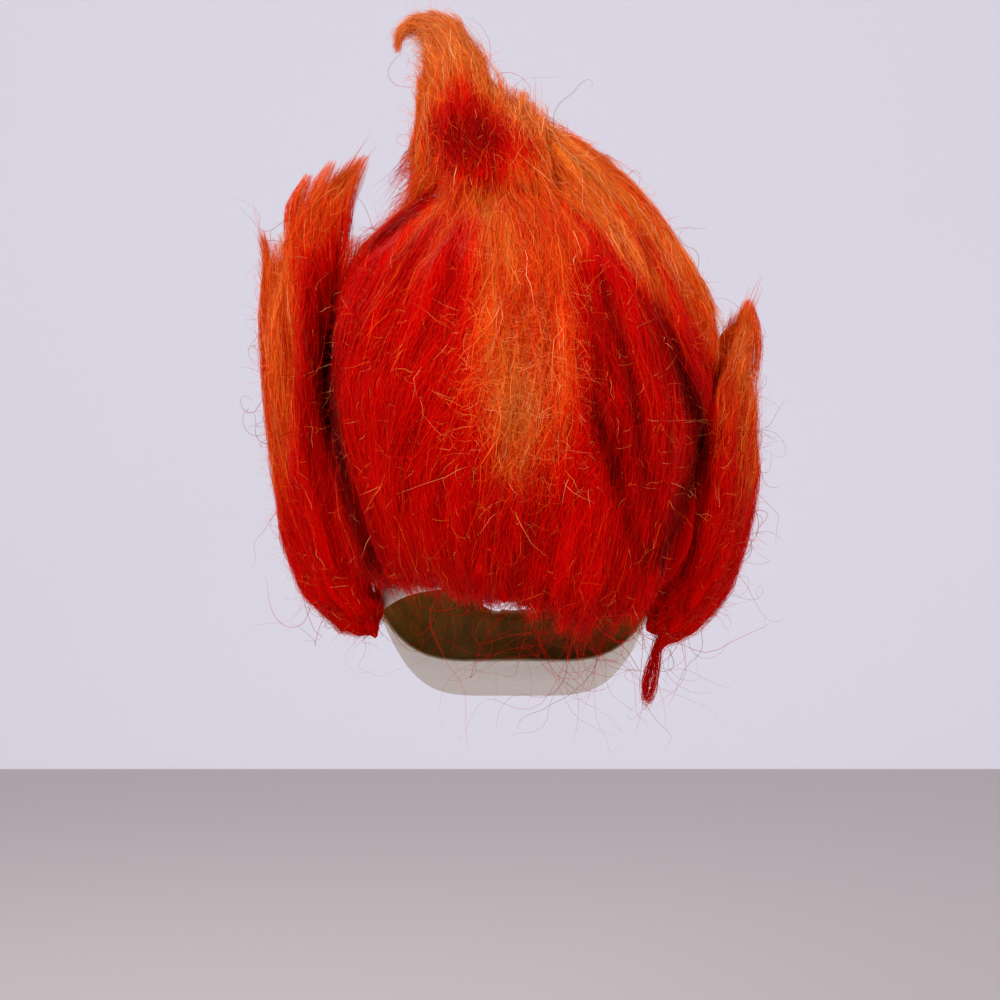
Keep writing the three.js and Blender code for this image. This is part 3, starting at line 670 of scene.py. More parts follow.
def hole_values(points):
    """For each opening of the face, below one inside it, and the nearest place on its edge."""
    across, height = points[:, 0], points[:, 2]
    holes = []
    for side in (-1, 1):
        offset = across - side * EYE_SPACING / 2
        wide = offset / (EYE_WIDTH / 2)
        tilted = height - face_height(EYE_LINE) - side * EYE_TILT * offset
        tall = tilted / (EYE_HEIGHT / 2)
        value = np.sqrt(wide**2 + np.abs(tall) ** (4 / 3))
        safe = np.maximum(value, 1e-3)
        edge_x = side * EYE_SPACING / 2 + offset / safe
        edge_z = (
            face_height(EYE_LINE)
            + tilted / safe**1.5
            + side * EYE_TILT * offset / safe
        )
        holes.append((value, edge_x, edge_z))
    share = across / (MOUTH_WIDTH / 2)
    half = MOUTH_GAP / 2 * np.sqrt(np.clip(1 - 0.9 * share**2, 0.05, 1))
    middle = mouth_height(across)
    value = np.where(np.abs(share) < 1, np.abs(height - middle) / half, 9)
    edge_z = middle + np.sign(height - middle) * half
    holes.append((value, across, edge_z))
    return holes


def shell_grid():
    """The shell's outer surface as a fine grid, with the openings of the face cut out."""
    columns, rows = 204, 124
    even = np.arange(columns) * 2 * math.pi / columns
    angle = even - 0.42 * np.sin(even)
    level = np.linspace(0, 1, rows + 1)[1:]
    angles, levels = np.meshgrid(angle, level)
    points = shell_surface(angles, levels).reshape(-1, 3)
    index = np.arange(rows * columns).reshape(rows, columns)
    after = np.roll(index, -1, axis=1)
    quads = np.stack([index[:-1], index[1:], after[1:], after[:-1]], axis=-1).reshape(-1, 4)
    in_front = points[:, 1] < -0.3 * FACE_REACH
    keep = np.ones(len(quads), bool)
    for value, edge_x, edge_z in hole_values(points):
        inner = (value < 1) & in_front
        gone = inner[quads].sum(axis=1) >= 3
        keep &= ~gone
        border = np.zeros(len(points), bool)
        border[np.unique(quads[gone])] = True
        stays = np.zeros(len(points), bool)
        stays[np.unique(quads[~gone])] = True
        border &= stays
        points[border, 0] = edge_x[border]
        points[border, 2] = edge_z[border]
    pole = len(points)
    points = np.vstack([points, [0, 0, WALL]])
    cap = np.stack([np.full(columns, pole), index[0], after[0]], axis=-1)
    return points, quads[keep], cap


def mask_shell():
    """The latex shell, with its paint on the outside."""
    points, quads, cap = shell_grid()
    piece = mesh_object("latex_shell", points, quads)
    close_crown(piece, cap)
    colours = paint_colours(points)
    layer = piece.data.color_attributes.new("paint", "FLOAT_COLOR", "POINT")
    layer.data.foreach_set("color", np.column_stack([colours, np.ones(len(colours))]).ravel())
    wall = piece.modifiers.new("wall", "SOLIDIFY")
    wall.thickness = WALL
    wall.offset = -1
    wall.material_offset = 1
    wall.material_offset_rim = 2
    inside = bare_latex("latex_inside", (0.27, 0.13, 0.011), (0.4, 0.2, 0.02), roughness=0.6)
    rim = bare_latex("latex_rim", (0.5, 0.4, 0.22), (0.68, 0.58, 0.38), roughness=0.5)
    for material in (painted_latex(), inside, rim):
        piece.data.materials.append(material)
    applied(piece)
    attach(piece, "root")
    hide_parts("mask_shell")
    return piece


def close_crown(piece, cap):
    """Fills the ring round the pole with triangles."""
    grid = bmesh.new()
    grid.from_mesh(piece.data)
    grid.verts.ensure_lookup_table()
    for corners in cap:
        face = grid.faces.new([grid.verts[corner] for corner in corners])
        face.smooth = True
    bmesh.ops.recalc_face_normals(grid, faces=grid.faces)
    grid.to_mesh(piece.data)
    grid.free()


def seen_from_behind(rows, share):
    """How far aside and up a line lies, in metres."""
    return along(rows, "across", share) * SHELL_HALF_WIDTH, along(rows, "up", share) * SHELL_HEIGHT


def in_furrows(points):
    """How deep in the furrows of the back each point lies, from 0 to 1."""
    depth = np.zeros(points.shape[:-1])
    for furrow in FURROWS:
        share = np.linspace(0, 1, 30)
        across, up = seen_from_behind(furrow, share)
        apart = (points[..., None, 0] - across) ** 2 + (points[..., None, 2] - up) ** 2
        fade = np.sin(math.pi * (0.1 + 0.8 * share))
        near = (np.exp(-apart / FURROW_WIDTH**2) * fade).max(axis=-1)
        depth = np.maximum(depth, near)
    return depth * smooth_step(0, 0.03, points[..., 1])


def tone_at(points):
    """The colour of the hair at each point, with its painted shade and highlights, before its
    strands vary it.
    """
    across = points[..., 0] / SHELL_HALF_WIDTH
    up = points[..., 2] / SHELL_HALF_WIDTH
    tone = np.full(across.shape, PLAIN_TONE)
    for stroke in COLOUR_STROKES:
        line = {name: along(stroke, name, SPINE_SHARES) for name in stroke}
        aside = across[..., None] - line["across"]
        aloft = up[..., None] - line["up"] * SHELL_HEIGHT / SHELL_HALF_WIDTH
        apart = np.hypot(aside, aloft) / line["wide"]
        closeness = 1 - smooth_step(0.6, 1.3, apart.min(axis=-1))
        tone += (line["tone"][apart.argmin(axis=-1)] - tone) * closeness
    return tone


def beside_head(rows, side, share=SPINE_SHARES):
    """The spine of a side tuft, as points from root to tip."""
    out = SHELL_HALF_WIDTH + along(rows, "out", share) * SIDE_LOFT
    back = along(rows, "back", share) * SKULL_REACH
    return np.stack([side * out, back, along(rows, "up", share) * SHELL_HEIGHT], axis=-1)


def over_crown(rows):
    """The spine of a tuft on the crown, as points from root to tip."""
    out = along(rows, "out", SPINE_SHARES) * SHELL_HALF_WIDTH
    back = along(rows, "back", SPINE_SHARES) * SKULL_REACH
    return np.stack([out, back, along(rows, "up", SPINE_SHARES) * CREST_RISE], axis=-1)


class Ripples:
    """Random ripples that run along the hair, about as wide as the given size."""

    def __init__(self, seed, size):
        chance = np.random.default_rng(seed)
        count = 320
        self.waves = unit(chance.normal(size=(count, 3)))
        self.rates = 2 * math.pi / (size * (0.6 + 0.9 * chance.random((count, 1))))
        self.phases = chance.random(count) * 2 * math.pi

    def at(self, points, directions):
        slant = 0.08
        weight = np.exp(-((directions @ self.waves.T / slant) ** 2))
        ripple = np.sin(points @ (self.waves * self.rates).T + self.phases)
        return (weight * ripple).sum(axis=-1) / np.sqrt((weight**2).sum(axis=-1) + 0.3)


class Combing:
    """A field of directions, drawn from lines that the hair follows."""

    def __init__(self, lines):
        self.points = np.vstack(lines)
        self.directions = np.vstack([unit(np.gradient(line, axis=0)) for line in lines])

    def at(self, points):
        apart = ((points[:, None, :] - self.points[None]) ** 2).sum(axis=-1)
        weight = 1 / (apart + COMBING_REACH**2) ** 2
        return unit(weight @ self.directions)


def hair_mass(node, name, voxel):
    """A smooth body of hair in the place of one of the solids."""
    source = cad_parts[node]
    piece = bpy.data.objects.new(name, source.data.copy())
    piece.data.materials.clear()
    bpy.context.scene.collection.objects.link(piece)
    weld = piece.modifiers.new("weld", "WELD")
    weld.merge_threshold = 0.00002
    remesh = piece.modifiers.new("even", "REMESH")
    remesh.mode = "VOXEL"
    remesh.voxel_size = voxel
    remesh.use_smooth_shade = True
    smooth = piece.modifiers.new("soften", "SMOOTH")
    smooth.factor = 0.5
    smooth.iterations = 5
    return applied(piece)


def tilt_hem(piece):
    """Draws the hem of the back hair up at the wearer's left and down at the right."""
    points, _ = mesh_arrays(piece)
    up = points[:, 2] / SHELL_HEIGHT
    hem = np.interp(points[:, 0] / SHELL_HALF_WIDTH, HEM["across"], HEM["up"])
    stretched = HEM_START + (up - HEM_START) * (hem - HEM_START) / (HEM_LEVEL - HEM_START)
    weight = smooth_step(0, 0.03, points[:, 1]) * (up < HEM_START)
    points[:, 2] += (stretched - up) * SHELL_HEIGHT * weight
    piece.data.vertices.foreach_set("co", points.astype(np.float32).ravel())
    piece.data.update()


def mesh_arrays(piece):
    mesh = piece.data
    mesh.calc_loop_triangles()
    points = np.empty(len(mesh.vertices) * 3, np.float32)
    mesh.vertices.foreach_get("co", points)
    triangles = np.empty(len(mesh.loop_triangles) * 3, np.int32)
    mesh.loop_triangles.foreach_get("vertices", triangles)
    return points.reshape(-1, 3).astype(float), triangles.reshape(-1, 3)


def map_hair(piece, tone, bright):
    """Gives each vertex its place in the map of hair colours."""
    mesh = piece.data
    index = np.empty(len(mesh.loops), np.int32)
    mesh.loops.foreach_get("vertex_index", index)
    layer = mesh.uv_layers.new(name="OFBake")
    place = np.stack([np.clip(tone, 0.01, 0.99), np.clip(bright, 0.01, 0.99)], axis=-1)
    layer.data.foreach_set("uv", place[index].astype(np.float32).ravel())


def shape_mass(piece, combing, ripples, shell_tree):
    """Raises locks along the hair of a mass, and sinks the furrows of the back. Where the mass
    runs out on the shell it stays as it is."""
    points, _ = mesh_arrays(piece)
    normals = np.empty(len(points) * 3, np.float32)
    piece.data.vertices.foreach_get("normal", normals)
    normals = normals.reshape(-1, 3)
    rise = LOCK_RELIEF * ripples.at(points, combing.at(points)) - MASS_SHRINK
    rise -= FURROW_DEPTH * in_furrows(points)
    apart = np.array([shell_tree.find_nearest(Vector(point))[3] for point in points])
    rise *= smooth_step(0.002, 0.009, apart)
    moved = points + normals * rise[:, None]
    piece.data.vertices.foreach_set("co", moved.astype(np.float32).ravel())
    piece.data.update()


def dress_mass(piece, node, combing, ripples, material):
    points, _ = mesh_arrays(piece)
    ripple = ripples.at(points, combing.at(points))
    furrow = in_furrows(points)
    # painted shade: the mass is a little darker than the strands over it, and darker still in the
    # furrows; it is brighter on the raised locks and darker between them, as painted light and shade
    tone = tone_at(points) - 0.03 + 0.02 * ripple - FURROW_SHADE * furrow
    map_hair(piece, tone, MASS_SHADED_BRIGHT + 0.1 * ripple - 0.3 * furrow)
    piece.data.materials.append(material)
    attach(piece, "root")
    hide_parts(node)


def open_roots(chance, piece, everything, count, low, high, beside=None):
    """Random points of a piece, between two heights in shares of the shell's, that face
    outwards and have no other hair over them. They may have to lie close beside some hair."""
    points, triangles = mesh_arrays(piece)
    corners = points[triangles]
    across = np.cross(corners[:, 1] - corners[:, 0], corners[:, 2] - corners[:, 0])
    area = np.linalg.norm(across, axis=1)
    normals = unit(across)
    middle = corners.mean(axis=1)
    head_middle = np.array([0, 0, -0.38 * SHELL_HEIGHT])
    outward = (unit(middle - head_middle) * normals).sum(axis=1) > -0.35
    up = middle[:, 2] / SHELL_HEIGHT
    weight = area * outward * (up > low) * (1 - smooth_step(high - 0.2, high, up))
    if beside is not None:
        for index in np.nonzero(weight)[0]:
            if beside.find_nearest(Vector(middle[index]), HAIRLINE_REACH)[0] is None:
                weight[index] = 0
    picked = chance.choice(len(triangles), int(count * 1.5), p=weight / weight.sum())
    parts = chance.random((len(picked), 2))
    over = parts.sum(axis=1) > 1
    parts[over] = 1 - parts[over]
    first, second, third = (corners[picked, corner] for corner in range(3))
    roots = first + parts[:, :1] * (second - first) + parts[:, 1:] * (third - first)
    facing = normals[picked]
    clear = np.array([
        everything.ray_cast(Vector(root + normal * OPEN_LIFT), Vector(normal), OPEN_REACH)[0] is None
        for root, normal in zip(roots, facing)
    ])
    return roots[clear][:count], facing[clear][:count]


def comb(surface, roots, normals, combing, lengths, lean, bend, steps, loose):
    """Grows strands along a surface: their points on it and the normals there. They lean to
    one side of the combing and bend on the way, and the loose ones let go half way."""
    position, facing = roots.copy(), normals.copy()
    path, path_normals = [position.copy()], [facing.copy()]
    stride = (lengths / steps)[:, None]
    lost = np.zeros(len(roots), bool)
    for step in range(steps):
        if step > steps // 2:
            lost |= loose
        direction = combing.at(position)
        sideways = np.cross(facing, direction)
        aside = lean + bend * (2 * step / steps - 1)
        direction = unit(direction + sideways * aside[:, None])
        hugging = direction - facing * (direction * facing).sum(axis=1, keepdims=True)
        direction = np.where(lost[:, None], direction, unit(hugging))
        before, position = position, position + direction * stride
        reach = 0.35 * stride[:, 0] + 0.001
        for strand in np.nonzero(~lost)[0]:
            place, normal, _, apart = surface.find_nearest(Vector(position[strand]))
            if apart > reach[strand]:
                lost[strand] = True
                position[strand] = before[strand] + direction[strand] * stride[strand] * TIP_SHRINK
            else:
                position[strand] = place
                facing[strand] = facing[strand] * 0.5 + np.array(normal) * 0.5
        shrink = np.where(loose, LOOSE_SHRINK, TIP_SHRINK)
        stride = np.where(lost, stride[:, 0] * shrink, stride[:, 0])[:, None]
        facing = unit(facing)
        path.append(position.copy())
        path_normals.append(facing.copy())
    return np.stack(path, axis=1), np.stack(path_normals, axis=1)


def gather(chance, paths, share, pull):
    """Draws the tips of neighbouring strands together into fine locks."""
    count = len(paths)
    leaders = chance.choice(count, max(count // share, 1), replace=False)
    near = KDTree(len(leaders))
    for index, leader in enumerate(leaders):
        near.insert(Vector(paths[leader, 0]), index)
    near.balance()
    chosen = np.array([leaders[near.find(Vector(root))[1]] for root in paths[:, 0]])
    along_strand = np.linspace(0, 1, paths.shape[1])[None, :, None]
    strength = pull * along_strand**1.4 * (0.5 + chance.random((count, 1, 1)))
    return paths + (paths[chosen] - paths) * np.clip(strength, 0, 0.9)


def wave(chance, paths, normals, size, turns):
    """Waves and frays strands to both sides and off the surface."""
    count, points = paths.shape[:2]
    share = np.linspace(0, 1, points)[None, :]
    tangents = unit(np.gradient(paths, axis=1))
    sides = np.cross(tangents, normals)
    offset = np.zeros((count, points, 2))
    for octave in (1, 1.7):
        phase = chance.random((count, 1, 2)) * 2 * math.pi
        rate = octave * turns * (0.6 + 0.8 * chance.random((count, 1, 2)))
        swing = np.sin(phase + rate * share[..., None] * 2 * math.pi) - np.sin(phase)
        offset += swing * (size[:, None, None] / octave)
    outwards = np.abs(offset[..., 1:]) * 0.7
    return paths + sides * offset[..., :1] + normals * outwards


def kept_in_box(paths):
    """Shortens each strand that leaves the reach of the box of the solids."""
    low = np.array(cad_box[0]) - BEYOND_BOX
    high = np.array(cad_box[1]) + BEYOND_BOX
    outside = ((paths < low) | (paths > high)).any(axis=-1)
    count, points = outside.shape
    first_out = np.where(outside.any(axis=1), outside.argmax(axis=1), points)
    last = np.maximum(first_out - 1, 0)[:, None] * np.linspace(0, 1, points)[None, :]
    start = np.minimum(np.floor(last).astype(int), points - 2)
    part = (last - start)[..., None]
    rows = np.arange(count)[:, None]
    return paths[rows, start] * (1 - part) + paths[rows, start + 1] * part


def ribbons(name, chance, paths, normals, width, tone, bright, material):
    """Strands as one mesh of flat tapering ribbons that face roughly outwards."""
    count, points = paths.shape[:2]
    paths = kept_in_box(paths)
    share = np.linspace(0, 1, points)
    tangents = unit(np.gradient(paths, axis=1))
    roll = chance.normal(0, 0.5, (count, 1, 1))
    sides = unit(np.cross(tangents, normals))
    sides = unit(sides * np.cos(roll) + normals * np.sin(roll))
    taper = np.sqrt(np.clip(1.02 - share, 0, 1)) * np.clip(0.35 + share * 6, 0, 1)
    half = (width[:, None] * taper[None, :] / 2)[..., None]
    rails = np.stack([paths - sides * half, paths + sides * half], axis=2)
    first = (np.arange(count)[:, None] * points + np.arange(points - 1)[None]).ravel() * 2
    quads = np.stack([first, first + 1, first + 3, first + 2], axis=-1)
    piece = mesh_object(name, rails.reshape(-1, 3), quads)
    edge = 0.004 * np.array([-1, 1])
    tones = tone[..., None] + edge + 0.003 * np.arange(points)[None, :, None]
    brights = bright[..., None] - edge
    map_hair(piece, tones.ravel(), brights.ravel())
    piece.data.materials.append(material)
    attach(piece, "root")


def tones_of(chance, paths, ripple, tip_gain):
    """The tones and the brightness of strands, by place, by lock, by strand and by tip, with painted
    shade in the furrows, painted light and shade along the raised locks, and pale strands as painted
    glints.
    """
    count, points = paths.shape[:2]
    share = np.linspace(0, 1, points)[None, :]
    lock = ripple[:, None]
    furrow = in_furrows(paths)
    drag = unit(np.gradient(paths, axis=1)) * chance.normal(0, TONE_DRAG, (count, 1, 1))
    tone = tone_at(paths + drag + chance.normal(0, TONE_SCATTER, (count, 1, 3)))
    own = chance.normal(0, 1, (count, 1)) + 0.5 * lock
    tone = tone + own * (0.015 + 0.34 * np.clip(tone - 0.4, 0, 0.25)) + tip_gain * share
    # painted highlights: a few strands are much paler and brighter, as glints of light
    pale = chance.random((count, 1)) < GLINT_SHARE
    # painted shade: the strands are darker down in the furrows
    tone = tone + 0.25 * pale - FURROW_SHADE * furrow
    own = chance.normal(0, 0.11, (count, 1)) + 0.3 * pale
    # painted light and shade: brighter on the raised locks and darker between them, and darker in
    # the furrows
    bright = STRAND_BRIGHT + own + 0.2 * lock - 0.25 * furrow + np.zeros((1, points))
    return tone, np.clip(bright, 0.02, 0.98)


def combed_hair(name, seed, mass, everything, count, length, low, high, beside, material):
    """The combed strands of one mass, rooted between two heights."""
    piece, surface, combing, ripples = mass
    chance = np.random.default_rng(seed)
    roots, normals = open_roots(chance, piece, everything, count, low, high, beside)
    depth = chance.random(len(roots))
    lengths = length * (1.2 - 0.75 * depth)
    lean = chance.normal(0, LEAN + LEAN_MORE * depth**2)
    bend = chance.normal(0, BEND + BEND_MORE * depth**2)
    loose = chance.random(len(roots)) < LOOSE_SHARE
    paths, path_normals = comb(
        surface, roots, normals, combing, lengths, lean, bend, COMBED_STEPS, loose
    )
    paths = gather(chance, paths, LOCK_STRANDS, LOCK_PULL)
    share = np.linspace(0, 1, paths.shape[1])[None, :]
    tip_lift = TIP_LIFT * share**2 * chance.random((len(paths), 1))
    lift = LIFT + LIFT_MORE * depth[:, None] + tip_lift
    paths = paths + path_normals * lift[..., None]
    size = (WAVE_SIZE + WAVE_MORE * depth**2) * (1 + BAND_WAVE * band_frizz(roots))
    paths = wave(chance, paths, path_normals, size, WAVE_TURNS)
    ripple = ripples.at(roots, combing.at(roots))
    tone, bright = tones_of(chance, paths, ripple, 0.01)
    # painted shade: the lower strands, which lie under the others, are darker
    bright = bright * (0.72 + 0.28 * depth[:, None])
    width = COMBED_WIDTH * (0.6 + 0.8 * chance.random(len(paths)))
    ribbons(name, chance, paths, path_normals, width, tone, bright, material)


def frizzy_hair(name, seed, mass, everything, count, length, in_band, material):
    """Short fine hairs that stand off the combed ones every way, many of them much paler as
    painted glints of light, over a whole mass or only in the band down the back."""
    piece, _, combing, ripples = mass
    chance = np.random.default_rng(seed)
    low, high = (BAND_LOW, BAND_HIGH) if in_band else (-1, 1)
    roots, normals = open_roots(chance, piece, everything, count, low, high)
    if in_band:
        kept = chance.random(len(roots)) < band_frizz(roots)
        roots, normals = roots[kept], normals[kept]
    count = len(roots)
    combed = combing.at(roots)
    loose = np.cross(normals, chance.normal(0, 1, (count, 3)))
    rise = np.abs(chance.normal(0, FRIZZ_RISE, (count, 1)))
    heading = unit(0.8 * combed + unit(loose) + rise * normals)
    bend = chance.normal(0, FRIZZ_BEND, (count, 3))
    lengths = length * (0.3 + 0.9 * chance.random(count) ** 2)
    steps = np.linspace(0, 1, FRIZZ_STEPS + 1)[None, :, None]
    arc = steps * heading[:, None] + steps**2 * bend[:, None]
    paths = roots[:, None] + normals[:, None] * FRIZZ_LIFT + lengths[:, None, None] * arc
    path_normals = normals[:, None] * np.ones((1, FRIZZ_STEPS + 1, 1))
    paths = wave(chance, paths, path_normals, lengths * 0.08, WAVE_TURNS)
    tone, bright = tones_of(chance, paths, ripples.at(roots, combed), 0.02)
    # painted highlights: pale frizz as glints of light, more of it in the band
    pale = chance.random((count, 1)) < 0.16 + 0.5 * band_frizz(roots)[:, None]
    glint_tones = GLINT_TONE + GLINT_RANGE * chance.random((count, 1))
    tone = np.where(pale, glint_tones, tone + 0.05)
    bright = np.where(pale, 0.65 + 0.3 * chance.random((count, 1)), bright + 0.1)
    width = FRIZZ_WIDTH * (0.5 + 0.5 * chance.random(count))
    ribbons(name, chance, paths, path_normals, width, tone, bright, material)


def loose_lock(name, seed, rows, count, material):
    """A lock of strands along a line, frayed at its end."""
    chance = np.random.default_rng(seed)
    start = 0.55 * chance.random((count, 1))
    end = start + (1.04 - start) * (0.6 + 0.4 * chance.random((count, 1)))
    share = start + (end - start) * np.linspace(0, 1, LOCK_STEPS + 1)[None, :]
    across, up = seen_from_behind(rows, share)
    middle = np.stack([across, along(rows, "back", share) * SKULL_REACH, up], axis=-1)
    turn = chance.random((count, 1)) * 2 * math.pi
    aside = np.sqrt(chance.random((count, 1))) * (1 + 0.5 * share**3)
    wide = along(rows, "wide", share) * SHELL_HALF_WIDTH * aside
    outward = np.stack([np.cos(turn), 1.4 * np.sin(turn), np.zeros_like(turn)], axis=-1)
    paths = middle + outward * wide[..., None]
    path_normals = unit(outward) * np.ones((1, LOCK_STEPS + 1, 1))
    size = 0.0004 + 0.0014 * chance.random(count) ** 2
    paths = wave(chance, paths, path_normals, size, WAVE_TURNS)
    tone, bright = tones_of(chance, paths, chance.normal(0, 0.5, count), 0.02)
    width = COMBED_WIDTH * (0.6 + 0.7 * chance.random(count))
    ribbons(name, chance, paths, path_normals, width, tone, bright, material)


def looped_curl(name, seed, count, material):
    """The thin loop of hair that hangs out of the right tuft."""
    chance = np.random.default_rng(seed)
    top = beside_head(RIGHT_TUFT, -1, np.array([0.05]))[0]
    turn = np.linspace(-0.1, 1.1, WISP_STEPS + 5) * 2 * math.pi
    across = np.sin(turn) * (0.62 - 0.38 * np.cos(turn)) * (CURL_WIDTH - CURL_THICKNESS) / 2
    drop = CURL_LENGTH / 2 * (1 - np.cos(turn))
    across += CURL_SLANT * drop / CURL_LENGTH
    middle = top + np.stack([across, np.zeros_like(turn), -drop], axis=-1)
    offsets = chance.normal(0, CURL_THICKNESS / 4, (count, 1, 3))
    paths = middle[None] * np.ones((count, 1, 1)) + offsets
    paths[..., 2] += drop * chance.normal(0, 0.06, (count, 1))
    path_normals = np.tile([0.0, 1.0, 0.0], (count, len(turn), 1))
    paths = wave(chance, paths, path_normals, np.full(count, 0.0007), 2)
    tone = np.tile(chance.normal(0.32, 0.06, (count, 1)), (1, len(turn)))
    bright = np.tile(chance.normal(0.5, 0.15, (count, 1)), (1, len(turn)))
    width = np.full(count, COMBED_WIDTH)
    ribbons(name, chance, paths, path_normals, width, tone, bright, material)


def cut_curl(piece):
    """Takes the solid curl off the right mass, and closes the hole."""
    below = (RIGHT_TUFT["up"][0] - 0.012) * SHELL_HEIGHT
    grid = bmesh.new()
    grid.from_mesh(piece.data)
    low = [corner for corner in grid.verts if corner.co.z < below]
    bmesh.ops.delete(grid, geom=low, context="VERTS")
    bmesh.ops.holes_fill(grid, edges=grid.edges, sides=0)
    bmesh.ops.triangulate(grid, faces=[face for face in grid.faces if len(face.verts) > 4])
    for face in grid.faces:
        face.smooth = True
    grid.to_mesh(piece.data)
    grid.free()


def band_frizz(points):
    """How wavy the pale band in the middle of the back is at each point."""
    aside = (points[..., 0] / SHELL_HALF_WIDTH - BAND_MIDDLE[0]) / BAND_SIZE[0]
    aloft = (points[..., 2] / SHELL_HEIGHT - BAND_MIDDLE[1]) / BAND_SIZE[1]
    return np.exp(-(aside**2) - aloft**2) * (points[..., 1] > 0)


def stray_hairs(name, seed, mass, everything, count, length, low, high, fall, material):
    """Long thin curling hairs that leave the wig between two heights."""
    chance = np.random.default_rng(seed)
    roots, normals = open_roots(chance, mass[0], everything, count, low, high)
    count = len(roots)
    strides = length * (0.3 + 0.9 * chance.random((count, 1))) / WISP_STEPS
    heading = unit(normals + chance.normal(0, 0.6, (count, 3)) - [0, 0, fall])
    spin = chance.normal(0, 0.3, (count, 3))
    path = [roots]
    for _ in range(WISP_STEPS):
        spin = 0.75 * spin + chance.normal(0, 0.2, (count, 3))
        heading = unit(heading + np.cross(spin, heading) - [0, 0, 0.06 * fall])
        path.append(path[-1] + heading * strides)
    paths = np.stack(path, axis=1)
    path_normals = np.tile([0.0, 1.0, 0.0], (count, WISP_STEPS + 1, 1))
    tone = np.tile(chance.normal(WISP_TONE, 0.08, (count, 1)), (1, WISP_STEPS + 1))
    bright = np.full_like(tone, STRAY_BRIGHT)
    width = WISP_WIDTH * (0.6 + 0.6 * chance.random(count))
    ribbons(name, chance, paths, path_normals, width, tone, bright, material)


def back_lines(surface):
    """The combing of the back hair: strokes laid on its surface, and a sweep up the front."""
    lines = []
    share = np.linspace(0, 1, 16)
    for stroke in BACK_STROKES:
        line = []
        for x, z in zip(*seen_from_behind(stroke, share)):
            place, _, _, _ = surface.ray_cast(Vector((x, 0.4, z)), Vector((0, -1, 0)))
            if place is None:
                place, _, _, _ = surface.find_nearest(Vector((x, 0.03, z)))
            line.append(place)
        lines.append(np.array(line))
    for aside in np.linspace(-1, 1, 7):
        low = np.array([aside * SHELL_HALF_WIDTH, -0.05 - 0.01 * (1 - aside**2), -0.02])
        low[2] -= 0.08 * aside**2
        high = np.array([0.55 * low[0], -0.01, 0.055])
        lines.append(low + (high - low) * share[:, None])
    return lines


def wig(shell):
    """All the hair: masses, combed strands, frizz and stray hairs."""
    mass_material = hair_material("hair_mass", roughness=0.8, specular=0.0, bumped=True)
    strand_material = hair_material("hair_strands", roughness=0.45, specular=0.05, bumped=False)
    pieces = {
        "back": hair_mass("hair_back", "back_mass", 0.0038),
        "crest": hair_mass("hair_crest", "crest_mass", 0.0026),
        "left": hair_mass("hair_left", "left_mass", 0.003),
        "right": hair_mass("hair_right", "right_mass", 0.0028),
    }
    cut_curl(pieces["right"])
    tilt_hem(pieces["back"])
    combings = {
        "back": Combing(back_lines(joined_surface(pieces))),
        "crest": Combing([over_crown(CREST), over_crown(CREST_SHOULDER)]),
        "left": Combing([beside_head(LEFT_TUFT, 1), beside_head(LEFT_OUTER_TUFT, 1)]),
        "right": Combing([beside_head(RIGHT_TUFT, -1)]),
    }
    masses = {}
    shell_tree = joined_surface({"shell": shell})
    for seed, (name, piece) in enumerate(pieces.items()):
        ripples = Ripples(seed, LOCK_SIZE)
        shape_mass(piece, combings[name], ripples, shell_tree)
        masses[name] = (piece, joined_surface({name: piece}), combings[name], ripples)
    everything = joined_surface(pieces)
    masses["mane"] = (pieces["crest"], everything, combings["back"], masses["back"][3])
    shell_and_back = joined_surface({"shell": shell, "back": pieces["back"]})
    masses["line"] = (shell, shell_and_back, combings["back"], masses["back"][3])
    line = masses["back"][1]
    combed = (  # mass, name, seed, count, length, low, high, beside
        ("back", "back_hair_a", 11, 12000, 0.085, -1, 1, None),
        ("back", "back_hair_b", 12, 8000, 0.06, -1, 1, None),
        ("line", "hairline", 14, 2800, 0.04, -0.6, 1, line),
        ("mane", "mane_hair", 13, 3300, 0.11, -0.1, 0.52, None),
        ("crest", "crest_hair", 21, 5500, 0.07, 0.12, 1, None),
        ("left", "left_hair", 31, 6900, 0.085, -1, 1, None),
        ("right", "right_hair", 41, 5500, 0.08, -1, 1, None),
    )
    for mass, name, seed, count, length, low, high, beside in combed:
        where = (low, high, beside)
        combed_hair(name, seed, masses[mass], everything, count, length, *where, strand_material)
    frizz = (  # mass, name, seed, count, length, only in the band
        ("back", "back_frizz", 51, 9500, 0.0095, False),
        ("back", "band_frizz", 55, 36000, 0.012, True),
        ("crest", "crest_frizz", 52, 4500, 0.009, False),
        ("left", "left_frizz", 53, 4200, 0.009, False),
        ("right", "right_frizz", 54, 3200, 0.009, False),
    )
    for mass, name, seed, count, length, in_band in frizz:
        frizzy_hair(name, seed, masses[mass], everything, count, length, in_band, strand_material)
    strays = (  # mass, name, seed, count, length, low, high, fall
        ("back", "nape_wisps", 61, 150, 0.11, -0.83, -0.68, 0.8),
        ("back", "back_strays", 62, 120, 0.05, -0.6, 0.6, 0.0),
        ("crest", "crest_strays", 63, 50, 0.06, 0.0, 0.6, 0.1),
        ("left", "left_strays", 64, 90, 0.07, -0.85, 0.2, 0.2),
        ("right", "right_strays", 65, 80, 0.07, -0.9, 0.0, 0.2),
    )
    for mass, name, seed, count, length, low, high, fall in strays:
        where = (low, high, fall)
        stray_hairs(name, seed, masses[mass], everything, count, length, *where, strand_material)
    del masses["mane"], masses["line"]
    looped_curl("loop_curl", 71, 80, strand_material)
    for index, rows in enumerate(LOOSE_LOCKS):
        seed = LOOSE_LOCK_SEED + index
        loose_lock(f"loose_lock_{index}", seed, rows, LOOSE_LOCK_COUNT, strand_material)
    for name, (piece, _, combing, ripples) in masses.items():
        dress_mass(piece, f"hair_{name}", combing, ripples, mass_material)


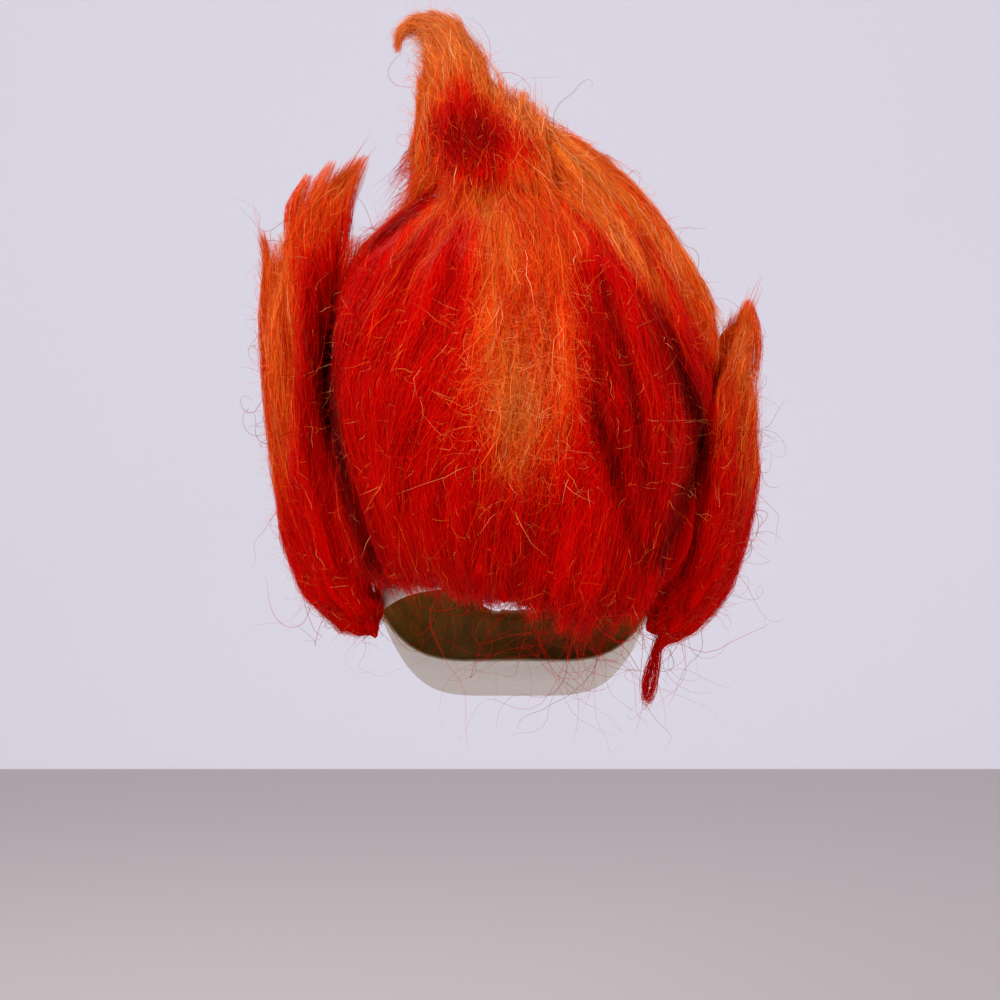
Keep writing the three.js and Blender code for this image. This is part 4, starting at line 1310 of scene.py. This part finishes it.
def joined_surface(pieces):
    """The surfaces of several masses as one tree to search."""
    all_points, all_triangles = [], []
    for piece in pieces.values():
        points, triangles = mesh_arrays(piece)
        all_triangles.append(triangles + sum(map(len, all_points)))
        all_points.append(points)
    return BVHTree.FromPolygons(np.vstack(all_points).tolist(), np.vstack(all_triangles).tolist())


def stage_material(name, colour, glow):
    material, _, _, shader = principled(name, 0.8, 0.2)
    shader.inputs["Base Color"].default_value = (*colour, 1)
    shader.inputs["Emission Color"].default_value = (*colour, 1)
    shader.inputs["Emission Strength"].default_value = glow
    return material


def studio():
    """A pale table and wall, soft lights, and the camera at the photograph's place."""
    reach = 6.0
    far = (CAMERA_DISTANCE + WALL_BEHIND) / CAMERA_DISTANCE
    table_height = CAMERA_HEIGHT - TABLE_EDGE_PIXELS * METRES_PER_PIXEL * far
    sides, ends = (-reach, reach), (-WALL_BEHIND, reach)
    floor_points = [(x, y, table_height) for y in ends for x in sides]
    floor = mesh_object("table_top", floor_points, [(0, 1, 3, 2)], smooth=False)
    floor.data.materials.append(stage_material("table_grey", (0.46, 0.40, 0.40), 0.2))
    heights = (table_height, table_height + reach)
    wall_points = [(x, -WALL_BEHIND, z) for z in heights for x in sides]
    wall = mesh_object("backdrop", wall_points, [(0, 1, 3, 2)], smooth=False)
    wall.data.materials.append(stage_material("backdrop_white", (0.78, 0.76, 0.84), 0.23))

    def light(name, place, aim, size, power, colour):
        data = bpy.data.lights.new(name, "AREA")
        data.size = size
        data.energy = power
        data.color = colour
        lamp = bpy.data.objects.new(name, data)
        lamp.location = place
        lamp.rotation_euler = (Vector(aim) - Vector(place)).to_track_quat("-Z", "Y").to_euler()
        bpy.context.scene.collection.objects.link(lamp)

    middle = (0, 0, -0.05)
    light("key", (0.9, 1.5, 0.9), middle, 1.0, 28, (1.0, 0.98, 0.95))
    light("fill", (-1.3, 1.2, 0.4), middle, 1.2, 12, (0.96, 0.98, 1.0))
    light("front", (0.5, -0.8, 1.1), middle, 1.0, 10, (1.0, 1.0, 1.0))
    world = bpy.data.worlds.new("studio_light")
    world.use_nodes = True
    world.node_tree.nodes["Background"].inputs["Color"].default_value = (0.9, 0.92, 1.0, 1)
    world.node_tree.nodes["Background"].inputs["Strength"].default_value = 0.55
    bpy.context.scene.world = world
    bpy.context.scene.view_settings.view_transform = "Standard"

    data = bpy.data.cameras.new("camera")
    data.sensor_width = 36
    data.lens = data.sensor_width * CAMERA_DISTANCE / (METRES_PER_PIXEL * IMAGE_PIXELS)
    camera = bpy.data.objects.new("camera", data)
    camera.location = (CAMERA_ASIDE, CAMERA_DISTANCE, CAMERA_HEIGHT)
    camera.rotation_euler = (math.pi / 2, 0, math.pi)
    bpy.context.scene.collection.objects.link(camera)
    bpy.context.scene.camera = camera


studio()
wig(mask_shell())
